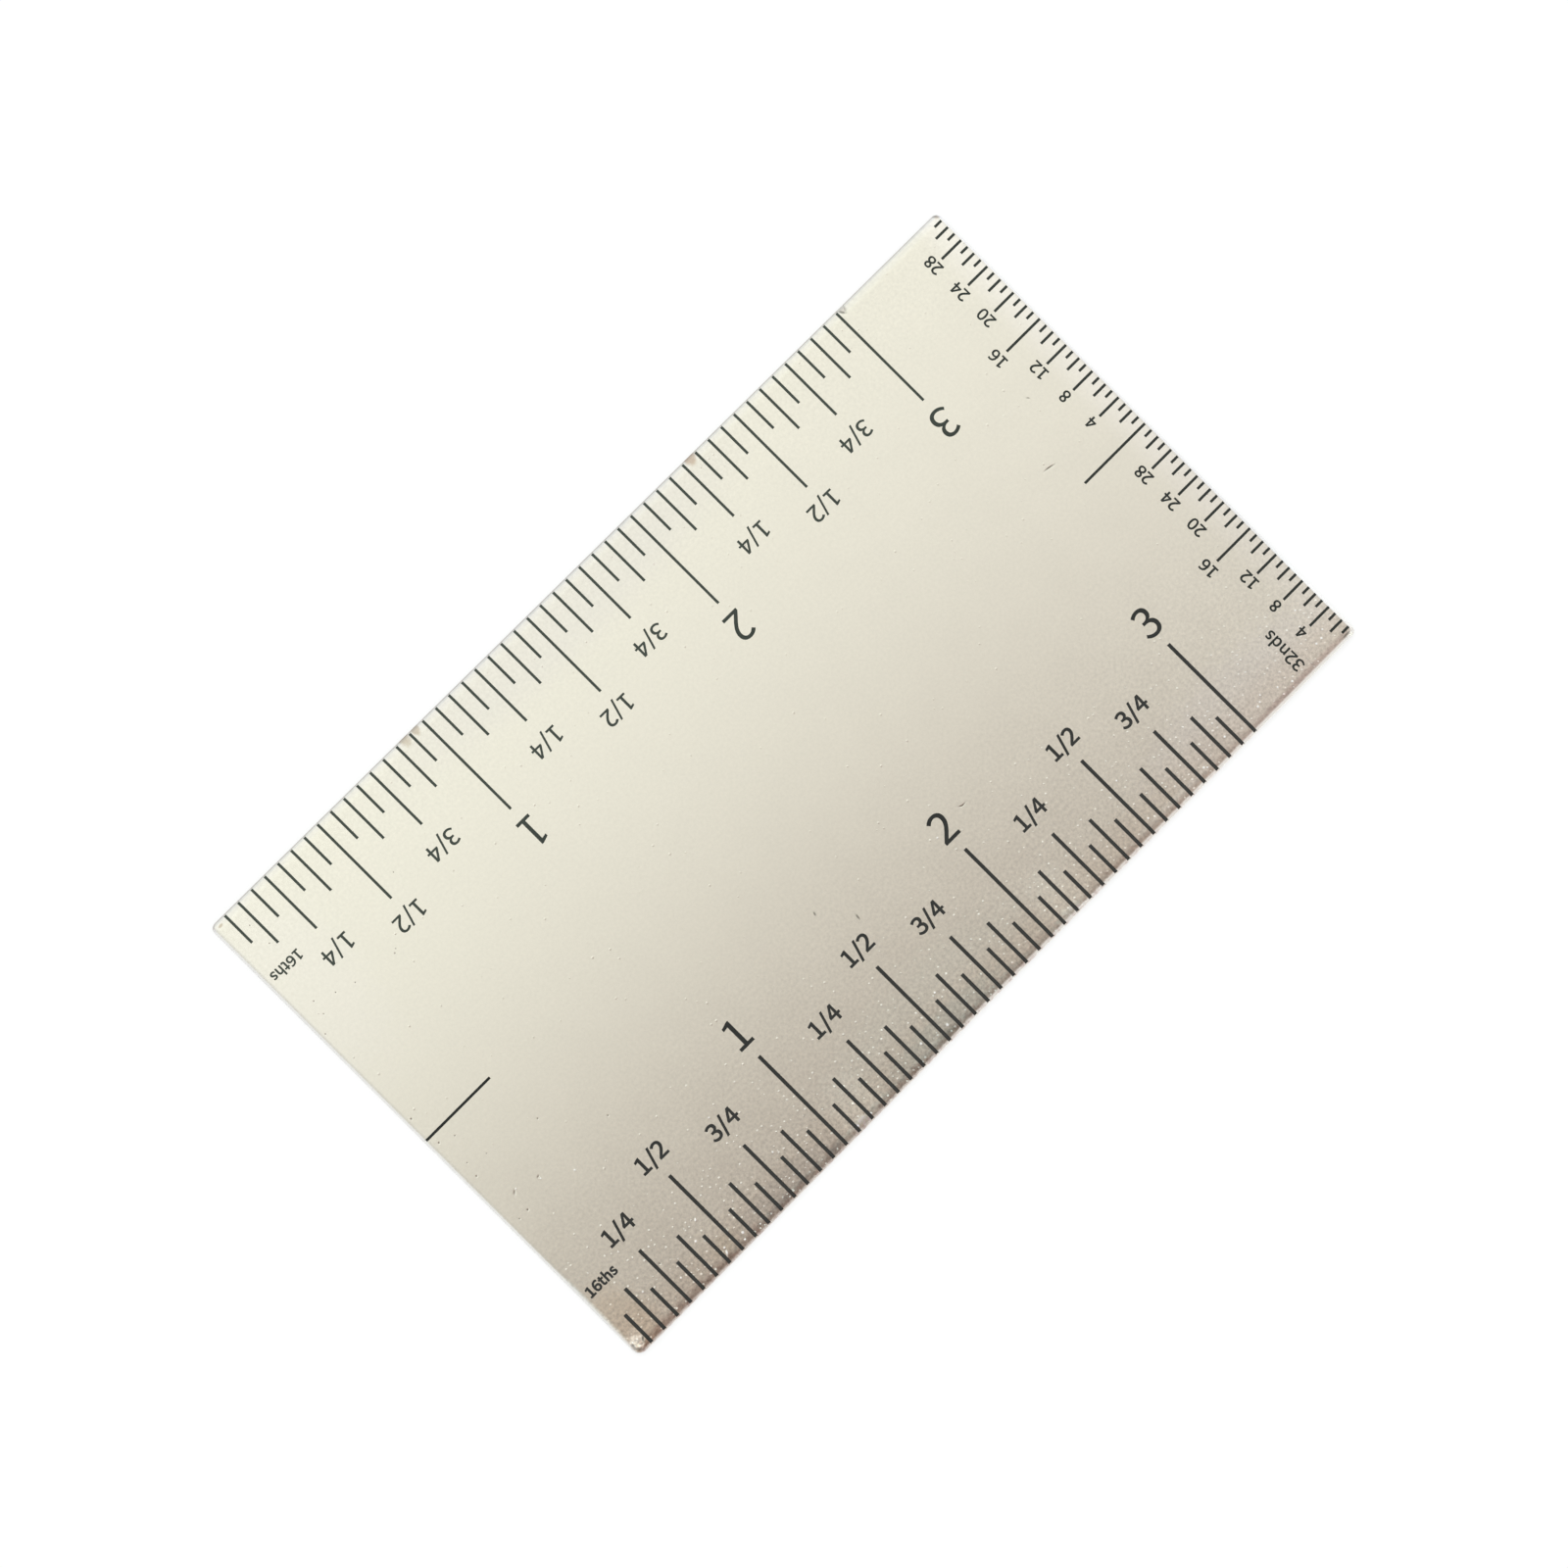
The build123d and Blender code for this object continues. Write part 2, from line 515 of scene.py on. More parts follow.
@dataclass(frozen=True)
class EndLettering:
    """Sizes of the figures of the end scale, in mm."""

    height: float = 1.057
    stretch: float = 0.966
    one_figure_stretch: float = 0.94
    lower_weight: float = 0.033
    upper_weight: float = 0.03
    baseline: float = 3.056
    sixteen_baseline: float = 4.9
    shift: float = 0.12
    word: Legend = Legend("32nds", Edge.SCALE_END, 3.226, 5.337, 1.08, 1.027, 0.029)
    divisions: int = 32
    every: int = 4

    def legends(self) -> list[Legend]:
        """Set out the figures of every fourth line in each inch, and the unit mark.

        Returns:
            Every legend.
        """
        found = [self.word]
        for inch, weight in enumerate((self.lower_weight, self.upper_weight)):
            for mark in range(self.every, self.divisions, self.every):
                place = (inch + mark / self.divisions) * INCH + self.shift
                baseline = self.sixteen_baseline if mark == 16 else self.baseline
                stretch = self.one_figure_stretch if mark < 10 else self.stretch
                shape = (self.height, stretch, weight)
                found.append(Legend(str(mark), Edge.SCALE_END, place, baseline, *shape))
        return found


# The relief: a plan of outlines cut into labelled triangles, then lifted to its heights


class Region(Enum):
    """What a part of the plan is, in the order in which one lies over another."""

    FACE = 0
    LINE = 1
    FIGURE = 2
    COUNTER = 3
    NICK = 4


@dataclass(frozen=True)
class Pit:
    """A small mark of wear in the face: a pit, a dent or a short scratch, in mm.

    Attributes:
        x: Plan place of its middle along the plate.
        y: Plan place of its middle across it.
        radius: Half its length.
        depth: Its depth, or less than 0 for a raised burr.
        slender: Its width as a share of its length.
        turn: Direction of its length from +X, in degrees.
        bend: How far its middle is bowed aside, in mm.
        dirt: How dark the mark is painted, from 0 to 1: grime in pits and
        scratches, and painted shade at the worn corners. Below 0 it carries a painted glint.
    """

    x: float
    y: float
    radius: float
    depth: float
    slender: float = 1.0
    turn: float = 0.0
    bend: float = 0.0
    dirt: float = 1.0

    REACH = 1.2  # Share of its half length past which it has no effect
    SLOPE = 0.6  # Share of its half length over which its depth grows

    def point(self, reach: float, angle: float) -> Vector:
        """Plan point of the mark.

        Args:
            reach: Its distance from the mark's middle, as a share of the mark's size.
            angle: Its direction from there.

        Returns:
            The point in mm.
        """
        along, aside = reach * math.cos(angle), reach * math.sin(angle) * self.slender
        bowed = Vector((along * self.radius, aside * self.radius + self.bend * (1 - along**2)))
        return Vector((self.x, self.y)) + Matrix.Rotation(math.radians(self.turn), 2) @ bowed

    def share(self, x: float, y: float) -> float:
        """How much of its depth and dirt a place has.

        Args:
            x: Plan place along the plate.
            y: Plan place across it.

        Returns:
            The share, from 0 outside the mark to 1.
        """
        if max(abs(x - self.x), abs(y - self.y)) > self.REACH * self.radius:
            return 0.0
        offset = Matrix.Rotation(math.radians(-self.turn), 2) @ Vector((x - self.x, y - self.y))
        along = offset.x / self.radius
        aside = (offset.y - self.bend * (1 - along**2)) / (self.radius * self.slender)
        return min(max((1 - math.hypot(along, aside)) / self.SLOPE, 0.0), 1.0)


@dataclass
class Plan:
    """Outlines and creases of the face, in mm, gathered before they are cut."""

    points: list[Vector] = field(default_factory=list)
    creases: list[tuple[int, int]] = field(default_factory=list)
    outlines: list[list[int]] = field(default_factory=list)
    regions: list[Region] = field(default_factory=list)
    pits: list[Pit] = field(default_factory=list)

    PIT_RINGS = (1.8, 1.25, 0.8, 0.45)  # Shares of a pit's radius
    PIT_UNEVENNESS = 0.12
    ROUND_SIDES, SLENDER_SIDES = 9, 14
    ROUND_ABOVE = 0.5  # Width as a share of the length above which a pit is round
    KEEP_ALL = 0  # Triangles outside the outlines are kept too
    MERGE_WITHIN = 1e-5

    def add_outline(self, points: Sequence[Point], region: Region) -> None:
        """Add a closed outline.

        Args:
            points: Its corners in either direction.
            region: What lies inside it.
        """
        area = sum(a[0] * b[1] - b[0] * a[1] for a, b in around(points))
        first = len(self.points)
        self.points += [Vector(p) for p in points]
        ring = list(range(first, len(self.points)))
        self.outlines.append(ring if area > 0 else ring[::-1])
        self.regions.append(region)

    def add_crease(self, start: Point, end: Point) -> None:
        """Add a straight crease, along which the face is divided.

        Args:
            start: One end.
            end: The other end.
        """
        first = len(self.points)
        self.points += [Vector(start), Vector(end)]
        self.creases.append((first, first + 1))

    def add_pit(self, pit: Pit, draw: random.Random) -> None:
        """Add a mark of wear, with an uneven outline.

        Args:
            pit: The mark.
            draw: Source of its unevenness.
        """
        self.pits.append(pit)
        sides = self.ROUND_SIDES if pit.slender > self.ROUND_ABOVE else self.SLENDER_SIDES
        for ring in self.PIT_RINGS:
            first = len(self.points)
            for side in range(sides):
                reach = ring * draw.uniform(1 - self.PIT_UNEVENNESS, 1 + self.PIT_UNEVENNESS)
                self.points.append(pit.point(reach, math.tau * side / sides))
            self.creases += around(range(first, first + sides))

    def cut(self) -> "CutPlan":
        """Cut the plan into triangles, each labelled with its region.

        Returns:
            The cut plan, without what lies outside the plate.
        """
        lines = (self.creases, self.outlines)
        made = delaunay_2d_cdt(self.points, *lines, self.KEEP_ALL, self.MERGE_WITHIN)
        corners, triangles, holders = made[0], made[2], made[5]
        kept: list[tuple[tuple[int, ...], Region]] = []
        for triangle, inside in zip(triangles, holders):
            if 0 in inside:
                label = max((self.regions[n] for n in inside), key=lambda r: r.value)
                kept.append((tuple(triangle), Region.FACE if label is Region.COUNTER else label))
        return CutPlan([(p.x, p.y) for p in corners], kept, self.pits)


@dataclass
class CutPlan:
    """A plan cut into triangles that wind anticlockwise, with a region for each."""

    corners: list[Point]
    triangles: list[tuple[tuple[int, ...], Region]]
    pits: list[Pit]

    def wear(self, corner: int) -> tuple[float, float]:
        """Find what the marks of wear do to a corner.

        Args:
            corner: Its number.

        Returns:
            The depth that they give to it, and its grime and painted light.
        """
        x, y = self.corners[corner]
        found = [(pit.share(x, y), pit) for pit in self.pits]
        share, pit = max(found, key=lambda pair: pair[0])
        return share * pit.depth, share * pit.dirt

    def sides(self) -> dict[tuple[int, int], Region]:
        """Region to the left of each directed side."""
        return {side: region for triangle, region in self.triangles for side in around(triangle)}


class ReliefMesh:
    """Gathers a mesh in mm and merges corners that share a place."""

    def __init__(self) -> None:
        """Start with no corners and no faces."""
        self.places: list[tuple[float, float, float]] = []
        self.faces: list[list[int]] = []
        self.dirt: dict[int, float] = {}
        self._known: dict[tuple[float, float, float], int] = {}

    def corner(self, x: float, y: float, z: float) -> int:
        """Find the corner at a place, or make it if it isn't there yet.

        Args:
            x: Place along the plate.
            y: Place across it.
            z: Height over the underside.

        Returns:
            The corner's number.
        """
        key = (round(x, 5), round(y, 5), round(z, 5))
        if key not in self._known:
            self._known[key] = len(self.places)
            self.places.append((x, y, z))
        return self._known[key]

    def face(self, corners: Iterable[int]) -> None:
        """Add a face, leaving out corners that repeat and faces that have no area.

        Args:
            corners: Numbers of its corners, in order.
        """
        ring: list[int] = []
        for corner in corners:
            if not ring or corner != ring[-1]:
                ring.append(corner)
        if len(ring) > 1 and ring[0] == ring[-1]:
            ring.pop()
        if len(ring) > 2:
            self.faces.append(ring)

    def piece(self, name: str, material: bpy.types.Material) -> bpy.types.Object:
        """Turn what was gathered into an object in metres.

        Args:
            name: The piece's name.
            material: Its finish.

        Returns:
            The object, shaded smooth up to the sharp angle.
        """
        mesh = bpy.data.meshes.new(name)
        scaled = [(x * MM, y * MM, z * MM) for x, y, z in self.places]
        mesh.from_pydata(scaled, [], self.faces)
        dirt = mesh.attributes.new("dirt", "FLOAT", "POINT")
        dirt.data.foreach_set("value", [self.dirt.get(n, 0.0) for n in range(len(scaled))])
        mesh.validate()
        return finished_piece(name, mesh, material)


def finished_piece(
    name: str, mesh: bpy.types.Mesh, material: bpy.types.Material
) -> bpy.types.Object:
    """Put a mesh in the scene as a piece that is shaded smooth up to the sharp angle.

    Args:
        name: The piece's name.
        mesh: Its mesh.
        material: Its one finish.

    Returns:
        The piece.
    """
    mesh.materials.clear()
    mesh.materials.append(material)
    mesh.polygons.foreach_set("use_smooth", [True] * len(mesh.polygons))
    mesh.set_sharp_from_angle(angle=SHARP_ANGLE)
    return linked(name, mesh)


# Node trees


class Wire:
    """A value that runs through a node tree, on which arithmetic adds the nodes it needs."""

    def __init__(self, build: "TreeBuilder", socket: bpy.types.NodeSocket) -> None:
        """Keep the socket that gives the value, and its tree's builder."""
        self.build = build
        self.socket = socket

    def __add__(self, other: "Wire | float") -> "Wire":
        """The sum of two values."""
        return self.build.math("ADD", self, other)

    def __sub__(self, other: "Wire | float") -> "Wire":
        """This value less another."""
        return self.build.math("SUBTRACT", self, other)

    def __rsub__(self, other: float) -> "Wire":
        """A number less this value."""
        return self.build.math("SUBTRACT", other, self)

    def __mul__(self, other: "Wire | float") -> "Wire":
        """The product of two values."""
        return self.build.math("MULTIPLY", self, other)

    def __truediv__(self, other: "Wire | float") -> "Wire":
        """This value divided by another."""
        return self.build.math("DIVIDE", self, other)

    def at_least(self, other: "Wire | float") -> "Wire":
        """The larger of two values."""
        return self.build.math("MAXIMUM", self, other)

    def span(self, low: float, high: float) -> "Wire":
        """Number between two numbers, where this value is a share from 0 to 1."""
        return self * (high - low) + low

    def ease(self, start: "Wire | float", end: "Wire | float") -> "Wire":
        """0 where this value is at the start and 1 at the end, eased in between."""
        ramp = {"Value": self, "From Min": start, "From Max": end}
        return self.build.out("ShaderNodeMapRange", ramp, interpolation_type="SMOOTHSTEP")


Feed = Wire | float | tuple


class TreeBuilder:
    """Adds nodes to a tree and joins them."""

    def __init__(self, tree: bpy.types.NodeTree) -> None:
        """Work on one tree."""
        self.tree = tree

    def node(
        self, kind: str, inputs: dict[str | int, Feed] | None = None, **settings: object
    ) -> bpy.types.Node:
        """Add a node.

        Args:
            kind: Its type.
            inputs: What each input gets, by its name or number: a wire or a value.
            settings: Its own properties.

        Returns:
            The node.
        """
        node = self.tree.nodes.new(kind)
        for name, value in settings.items():
            setattr(node, name, value)
        for name, source in (inputs or {}).items():
            self.feed(node.inputs[name], source)
        return node

    def feed(self, target: bpy.types.NodeSocket, source: Feed) -> None:
        """Join a wire to an input, or set the input's own value.

        Args:
            target: The input.
            source: What it gets.
        """
        if isinstance(source, Wire):
            self.tree.links.new(source.socket, target)
        else:
            target.default_value = source

    def wires(self, node: bpy.types.Node) -> dict[str, Wire]:
        """A node's outputs, by name."""
        return {socket.name: Wire(self, socket) for socket in node.outputs}

    def out(
        self,
        kind: str,
        inputs: dict[str | int, Feed] | None = None,
        output: str | int = 0,
        **settings: object,
    ) -> Wire:
        """One output of a node that is added as node() adds it."""
        return Wire(self, self.node(kind, inputs, **settings).outputs[output])

    def math(self, operation: str, *values: Wire | float) -> Wire:
        """Result of a math node, given its inputs in order."""
        return self.out("ShaderNodeMath", dict(enumerate(values)), operation=operation)

    def vector(self, operation: str, a: Feed, b: Feed) -> Wire:
        """Result of a vector math node, whose second input is a vector or a scale."""
        second = "Scale" if operation == "SCALE" else 1
        return self.out("ShaderNodeVectorMath", {0: a, second: b}, operation=operation)

    def split(self, vector: Wire) -> dict[str, Wire]:
        """The X, Y and Z of a vector."""
        return self.wires(self.node("ShaderNodeSeparateXYZ", {0: vector}))

    def blend(self, share: Wire, a: Wire | Colour, b: Wire | Colour) -> Wire:
        """Blend two colours.

        Args:
            share: How much of the second, from 0 to 1.
            a: The first colour.
            b: The second colour.

        Returns:
            The colour between them.
        """
        ends = [(*colour, 1.0) if isinstance(colour, tuple) else colour for colour in (a, b)]
        # The mix node's colours are its inputs 6 and 7 and its output 2
        return self.out("ShaderNodeMix", {0: share, 6: ends[0], 7: ends[1]}, 2, data_type="RGBA")

    def bump(self, height: Wire, distance: float) -> Wire:
        """Normal of a surface that is raised by its height times a distance, in m."""
        return self.out("ShaderNodeBump", {"Height": height, "Strength": 1.0, "Distance": distance})

    def surface(self, shader: Wire) -> None:
        """Join a shader to the material's output."""
        self.node("ShaderNodeOutputMaterial", {"Surface": shader})


# Scale lines, set out by Geometry Nodes


@dataclass
class ScaleLines:
    """The black fill of every scale line, made by one tree of Geometry Nodes.

    Attributes:
        plate: Sizes of the plate.
        section: Depths of the lines and of their fill.
        runs: Runs along each line's bar, of which the last is flat.
        overrun: How far a line that runs out is cut past the edge, in mm.
        tree: The tree.
        sockets: Identifier of each input of the tree, by its name.
        LENGTHS: The tree's inputs for a line's length, from the finest line up.
    """

    plate: PlateSizes
    section: LineSizes
    runs: int = 6
    overrun: float = 0.5
    tree: bpy.types.NodeTree = field(init=False)
    sockets: dict[str, str] = field(init=False, default_factory=dict)

    LENGTHS = tuple(f"Length {level}" for level in range(1, 7))

    def __post_init__(self) -> None:
        """Build the tree."""
        self.tree = bpy.data.node_groups.new("graduated_row", "GeometryNodeTree")
        self._build_tree()

    def _build_tree(self) -> None:
        """Lay out marks along an edge, choose each line's length and shape its bar."""
        sizes = ("Line Width", "Margin", "Roll Width", "Roll Drop", "Floor", "Top", *self.LENGTHS)
        kinds = {"Marks": "Int", "Finish": "Material", **dict.fromkeys(sizes, "Float")}
        kinds |= dict.fromkeys(("First Mark", "Pitch", "Inward", "Along"), "Vector")
        interface = self.tree.interface
        for name, kind in kinds.items():
            item = interface.new_socket(name=name, in_out="INPUT", socket_type=f"NodeSocket{kind}")
            self.sockets[name] = item.identifier
        interface.new_socket(name="Geometry", in_out="OUTPUT", socket_type="NodeSocketGeometry")
        build = TreeBuilder(self.tree)
        given = build.wires(build.node("NodeGroupInput"))

        row = {"Count": given["Marks"], "Start Location": given["First Mark"]}
        marks = build.out("GeometryNodeMeshLine", row | {"Offset": given["Pitch"]}, mode="OFFSET")
        number = build.out("GeometryNodeInputIndex") + 1.0
        length = given[self.LENGTHS[0]]
        for level, name in enumerate(self.LENGTHS[1:], 1):
            whole = build.math("LESS_THAN", build.math("MODULO", number, float(2**level)), 0.5)
            length = self._either(build, whole, length, given[name])
        position = build.out("GeometryNodeInputPosition")
        on_mark = self._carry(build, marks, length=length, mark=position)

        counts = {"Vertices X": 2, "Vertices Y": self.runs + 1, "Vertices Z": 2}
        bar = build.out("GeometryNodeMeshCube", {"Size": (1.0, 1.0, 1.0), **counts})
        in_bar = self._carry(build, bar, share=position)
        spread = {"Points": on_mark["Geometry"], "Instance": in_bar["Geometry"]}
        bars = build.out("GeometryNodeInstanceOnPoints", spread)
        real = build.out("GeometryNodeRealizeInstances", {0: bars})
        place = self._bar_place(build, given, on_mark, in_bar["share"])
        bent = build.out("GeometryNodeSetPosition", {"Geometry": real, "Position": place})
        coat = {"Geometry": bent, "Material": given["Finish"]}
        build.node("NodeGroupOutput", {"Geometry": build.out("GeometryNodeSetMaterial", coat)})

    def _either(self, build: TreeBuilder, test: Wire, no: Wire, yes: Wire) -> Wire:
        """One of two numbers, by a test."""
        choice = {"Switch": test, "False": no, "True": yes}
        return build.out("GeometryNodeSwitch", choice, input_type="FLOAT")

    def _carry(self, build: TreeBuilder, geometry: Wire, **values: Wire) -> dict[str, Wire]:
        """Make a geometry carry values that are found on it.

        Args:
            build: The tree's builder.
            geometry: The geometry.
            values: What it carries, by name.

        Returns:
            The geometry and the carried values, by name.
        """
        node = build.node("GeometryNodeCaptureAttribute", {"Geometry": geometry})
        for name, value in values.items():
            node.capture_items.new("VECTOR" if value.socket.type == "VECTOR" else "FLOAT", name)
            build.feed(node.inputs[name], value)
        return build.wires(node)

    def _bar_place(
        self, build: TreeBuilder, given: dict[str, Wire], mark: dict[str, Wire], share: Wire
    ) -> Wire:
        """Work out where a bar's corner lies, so that the bar follows the rolled edge.

        The bar has one flat run, beyond the runs that bend with the roll.

        Args:
            build: The tree's builder.
            given: The tree's inputs.
            mark: The mark's carried length and place.
            share: The corner's place in a unit bar.

        Returns:
            The corner's position.
        """
        part = build.split(share)
        margin, roll = given["Margin"], given["Roll Width"]
        step = (part["Y"] + 0.5) * float(self.runs)
        each = (roll.at_least(margin) - margin) / (self.runs - 1.0)
        last = build.math("GREATER_THAN", step, self.runs - 0.5)
        reach = self._either(build, last, step * each + margin, mark["length"])
        ratio = (roll - reach).at_least(0.0) / roll
        fall = build.math("POWER", ratio, 2.0) * given["Roll Drop"]
        level = (part["Z"] + 0.5) * (given["Top"] - given["Floor"]) + given["Floor"]
        lift = build.out("ShaderNodeCombineXYZ", {"Z": level - fall})
        place = build.vector("ADD", mark["mark"], build.vector("SCALE", given["Inward"], reach))
        aside = build.vector("SCALE", given["Along"], part["X"] * given["Line Width"])
        return build.vector("ADD", build.vector("ADD", place, aside), lift)

    def row_mesh(self, scale: Scale, finish: bpy.types.Material) -> bpy.types.Mesh:
        """Run the tree for one scale.

        Args:
            scale: The scale.
            finish: The black fill's material.

        Returns:
            The plain mesh of its bars.
        """
        first = scale.pitch if scale.count > 1 else self.plate.width / 2
        sizes = {
            "Line Width": scale.line_width,
            "Margin": scale.margin,
            "Roll Width": scale.roll.width,
            "Roll Drop": scale.roll.drop,
            "Floor": self.plate.thickness - self.section.depth,
            "Top": self.plate.thickness - self.section.fill_recess,
            "First Mark": Vector((*self.plate.edge_point(scale.edge, first), 0)),
            "Pitch": scale.edge.along * scale.pitch,
        }
        for level, name in enumerate(self.LENGTHS):
            sizes[name] = scale.lengths[min(level, len(scale.lengths) - 1)]
        values: dict[str, object] = {name: size * MM for name, size in sizes.items()}
        values |= {"Marks": scale.count, "Finish": finish}
        values |= {"Inward": scale.edge.inward, "Along": scale.edge.along}
        holder = linked(scale.name, bpy.data.meshes.new(scale.name))
        modifier = holder.modifiers.new("set_out", "NODES")
        modifier.node_group = self.tree
        for name, value in values.items():
            modifier[self.sockets[name]] = value
        ready = holder.evaluated_get(bpy.context.evaluated_depsgraph_get())
        mesh = bpy.data.meshes.new_from_object(ready)
        holder.modifiers.remove(modifier)
        bpy.data.objects.remove(holder)
        return mesh

    def build(self, finish: bpy.types.Material) -> tuple[bpy.types.Object, list[list[Point]]]:
        """Make the fill of all scales as one piece.

        Args:
            finish: The black fill's material.

        Returns:
            The piece, and the plan outline of each sunk line in mm.
        """
        joined = bmesh.new()
        outlines: list[list[Point]] = []
        for scale in SCALES:
            mesh = self.row_mesh(scale, finish)
            outlines += self._outlines(scale, mesh)
            joined.from_mesh(mesh)
            bpy.data.meshes.remove(mesh)
        bmesh.ops.recalc_face_normals(joined, faces=joined.faces)
        mesh = bpy.data.meshes.new("scale_line_fill")
        joined.to_mesh(mesh)
        joined.free()
        return finished_piece("scale_line_fill", mesh, finish), outlines

    def _outlines(self, scale: Scale, mesh: bpy.types.Mesh) -> list[list[Point]]:
        """Draw the plan outline of each bar in a row.

        Args:
            scale: The row's scale.
            mesh: Its bars.

        Returns:
            The four corners of each, drawn out past an edge that it runs through.
        """
        past = scale.edge.inward.to_2d() * (self.overrun if scale.runs_out else 0.0)
        size = len(mesh.vertices) // scale.count
        outlines: list[list[Point]] = []
        for first in range(0, scale.count * size, size):
            block = [v.co / MM for v in mesh.vertices[first : first + size]]
            low_x, low_y = (min(p[axis] for p in block) - max(past[axis], 0) for axis in (0, 1))
            high_x, high_y = (max(p[axis] for p in block) - min(past[axis], 0) for axis in (0, 1))
            outlines.append([(low_x, low_y), (high_x, low_y), (high_x, high_y), (low_x, high_y)])
        return outlines


# The steel plate and the fill of its figures


@dataclass
class EngravedPlate:
    """The plate with its rolled edges, wear, sunk lines and sunk figures.

    Attributes:
        sizes: Sizes of the plate.
        section: Depths of the lines and of their fill.
        corner_steps: Runs in each round corner.
        roll_steps: Creases across each roll.
        rim_steps: Creases across the round of the rim.
        back_steps: Runs in the round of the back edge.
        support: Distance in mm from a roll to the crease that keeps the face flat.
        clear_of_rim: Least distance in mm between the rim and a crease of a roll.
        nick_overrun: How far the nick is drawn out past the edge, in mm.
        nick_dirt: How dark the nick is, from 0 to 1.
        seed: Start of the draws for the marks of wear.
    """

    sizes: PlateSizes = PlateSizes()
    section: LineSizes = LineSizes()
    corner_steps: int = 10
    roll_steps: int = 8
    rim_steps: int = 6
    back_steps: int = 3
    support: float = 0.08
    clear_of_rim: float = 0.01
    nick_overrun: float = 0.4
    nick_dirt: float = 0.05
    seed: int = 7

    def outline(self) -> list[Point]:
        """Draw the plate's outline.

        Returns:
            Its points, anticlockwise from the corner of the lower edge and the end scale.
        """
        sizes = self.sizes
        points: list[Point] = []
        for number, (side_x, side_y) in enumerate(((1, -1), (1, 1), (-1, 1), (-1, -1))):
            radius, (x, y) = sizes.corner(side_x, side_y)
            for step in range(self.corner_steps + 1):
                angle = math.pi / 2 * (number - 1 + step / self.corner_steps)
                points.append((x + radius * math.cos(angle), y + radius * math.sin(angle)))
        return points

    def nick_outline(self) -> list[Point]:
        """Draw the nick in the upper edge, out past the edge.

        Returns:
            The three corners of its plan.
        """
        sizes, past = self.sizes, self.nick_overrun
        x, y = sizes.edge_point(Edge.UPPER, sizes.nick_place)
        spread = sizes.nick_width / 2 * (sizes.nick_length + past) / sizes.nick_length
        return [(x, y - sizes.nick_length), (x + spread, y + past), (x - spread, y + past)]

    def plan(self, lines: list[list[Point]], texts: list[Legend], pits: list[Pit]) -> CutPlan:
        """Lay out everything that the face carries and cut it into triangles.

        Args:
            lines: Outlines of the sunk lines.
            texts: The legends.
            pits: The marks of wear.

        Returns:
            The cut plan.
        """
        sizes = self.sizes
        half_length, half_width = sizes.length / 2, sizes.width / 2
        plan = Plan()
        outside = self.outline()
        plan.add_outline(outside, Region.FACE)
        for step in range(self.rim_steps):
            inset = sizes.rim.width * (1 - math.sin(math.pi / 2 * step / self.rim_steps))
            for start, end in around([self._inset(x, y, inset) for x, y in outside]):
                plan.add_crease(start, end)
        for reach in self._rings(sizes.long_roll):
            for y in (reach - half_width, half_width - reach):
                plan.add_crease((-half_length, y), (half_length, y))
        for reach in self._rings(sizes.end_roll):
            for x in (reach - half_length, half_length - reach):
                plan.add_crease((x, -half_width), (x, half_width))
        for reach in self._rings(sizes.knock):
            run = reach * math.sqrt(2)
            plan.add_crease((-half_length, run - half_width), (run - half_length, -half_width))
        for outline in lines:
            plan.add_outline(outline, Region.LINE)
        for legend in texts:
            for contour, counter in legend.contours():
                plan.add_outline(contour, Region.COUNTER if counter else Region.FIGURE)
        plan.add_outline(self.nick_outline(), Region.NICK)
        draw = random.Random(self.seed)
        for pit in pits:
            plan.add_pit(pit, draw)
        return plan.cut()

    def _rings(self, roll: RolledEdge) -> list[float]:
        """Choose where the roll of an edge is divided.

        Args:
            roll: The rolled edge.

        Returns:
            Distances in from the edge, past the rim, with one beyond the roll.
        """
        rings = [roll.width * step / self.roll_steps for step in range(1, self.roll_steps + 1)]
        inside = [ring for ring in rings if ring > self.sizes.rim.width + self.clear_of_rim]
        return [*inside, roll.width + self.support]

    def height(self, region: Region, x: float, y: float, drop: float = 0.0) -> float:
        """Height of a region at a place.

        Args:
            region: The region.
            x: Plan place along the plate.
            y: Plan place across it.
            drop: Depth of a pit there.

        Returns:
            The height over the underside, in mm.
        """
        face = self.sizes.face_height(x, y)
        if region in (Region.LINE, Region.FIGURE):
            return face - self.section.depth
        if region is Region.NICK:
            share = (self.sizes.width / 2 - y) / self.sizes.nick_length
            return min(face, self.sizes.thickness - self.sizes.nick_drop * (1 - share))
        return face - drop

    def build(self, cut: CutPlan, steel: bpy.types.Material) -> bpy.types.Object:
        """Lift the cut plan into the plate's closed mesh.

        Args:
            cut: The cut plan.
            steel: The plate's finish.

        Returns:
            The plate.
        """
        mesh = ReliefMesh()
        sides = cut.sides()
        heights: dict[tuple[int, Region], float] = {}
        stack: dict[int, set[float]] = {}
        wear = [cut.wear(corner) for corner in range(len(cut.corners))]
        for triangle, region in cut.triangles:
            for corner in triangle:
                x, y = cut.corners[corner]
                drop, dirt = wear[corner]
                level = self.height(region, x, y, drop)
                heights[(corner, region)] = level
                # Grime, painted shade and painted glints of the marks, and the nick's darkening
                shown = {Region.FACE: dirt, Region.NICK: max(dirt, self.nick_dirt)}.get(region, 0.0)
                mesh.dirt[mesh.corner(x, y, level)] = shown
                stack.setdefault(corner, set()).add(level)

        def at(corner: int, level: float) -> int:
            """Number of the mesh's corner over a corner of the plan."""
            x, y = cut.corners[corner]
            return mesh.corner(x, y, level)

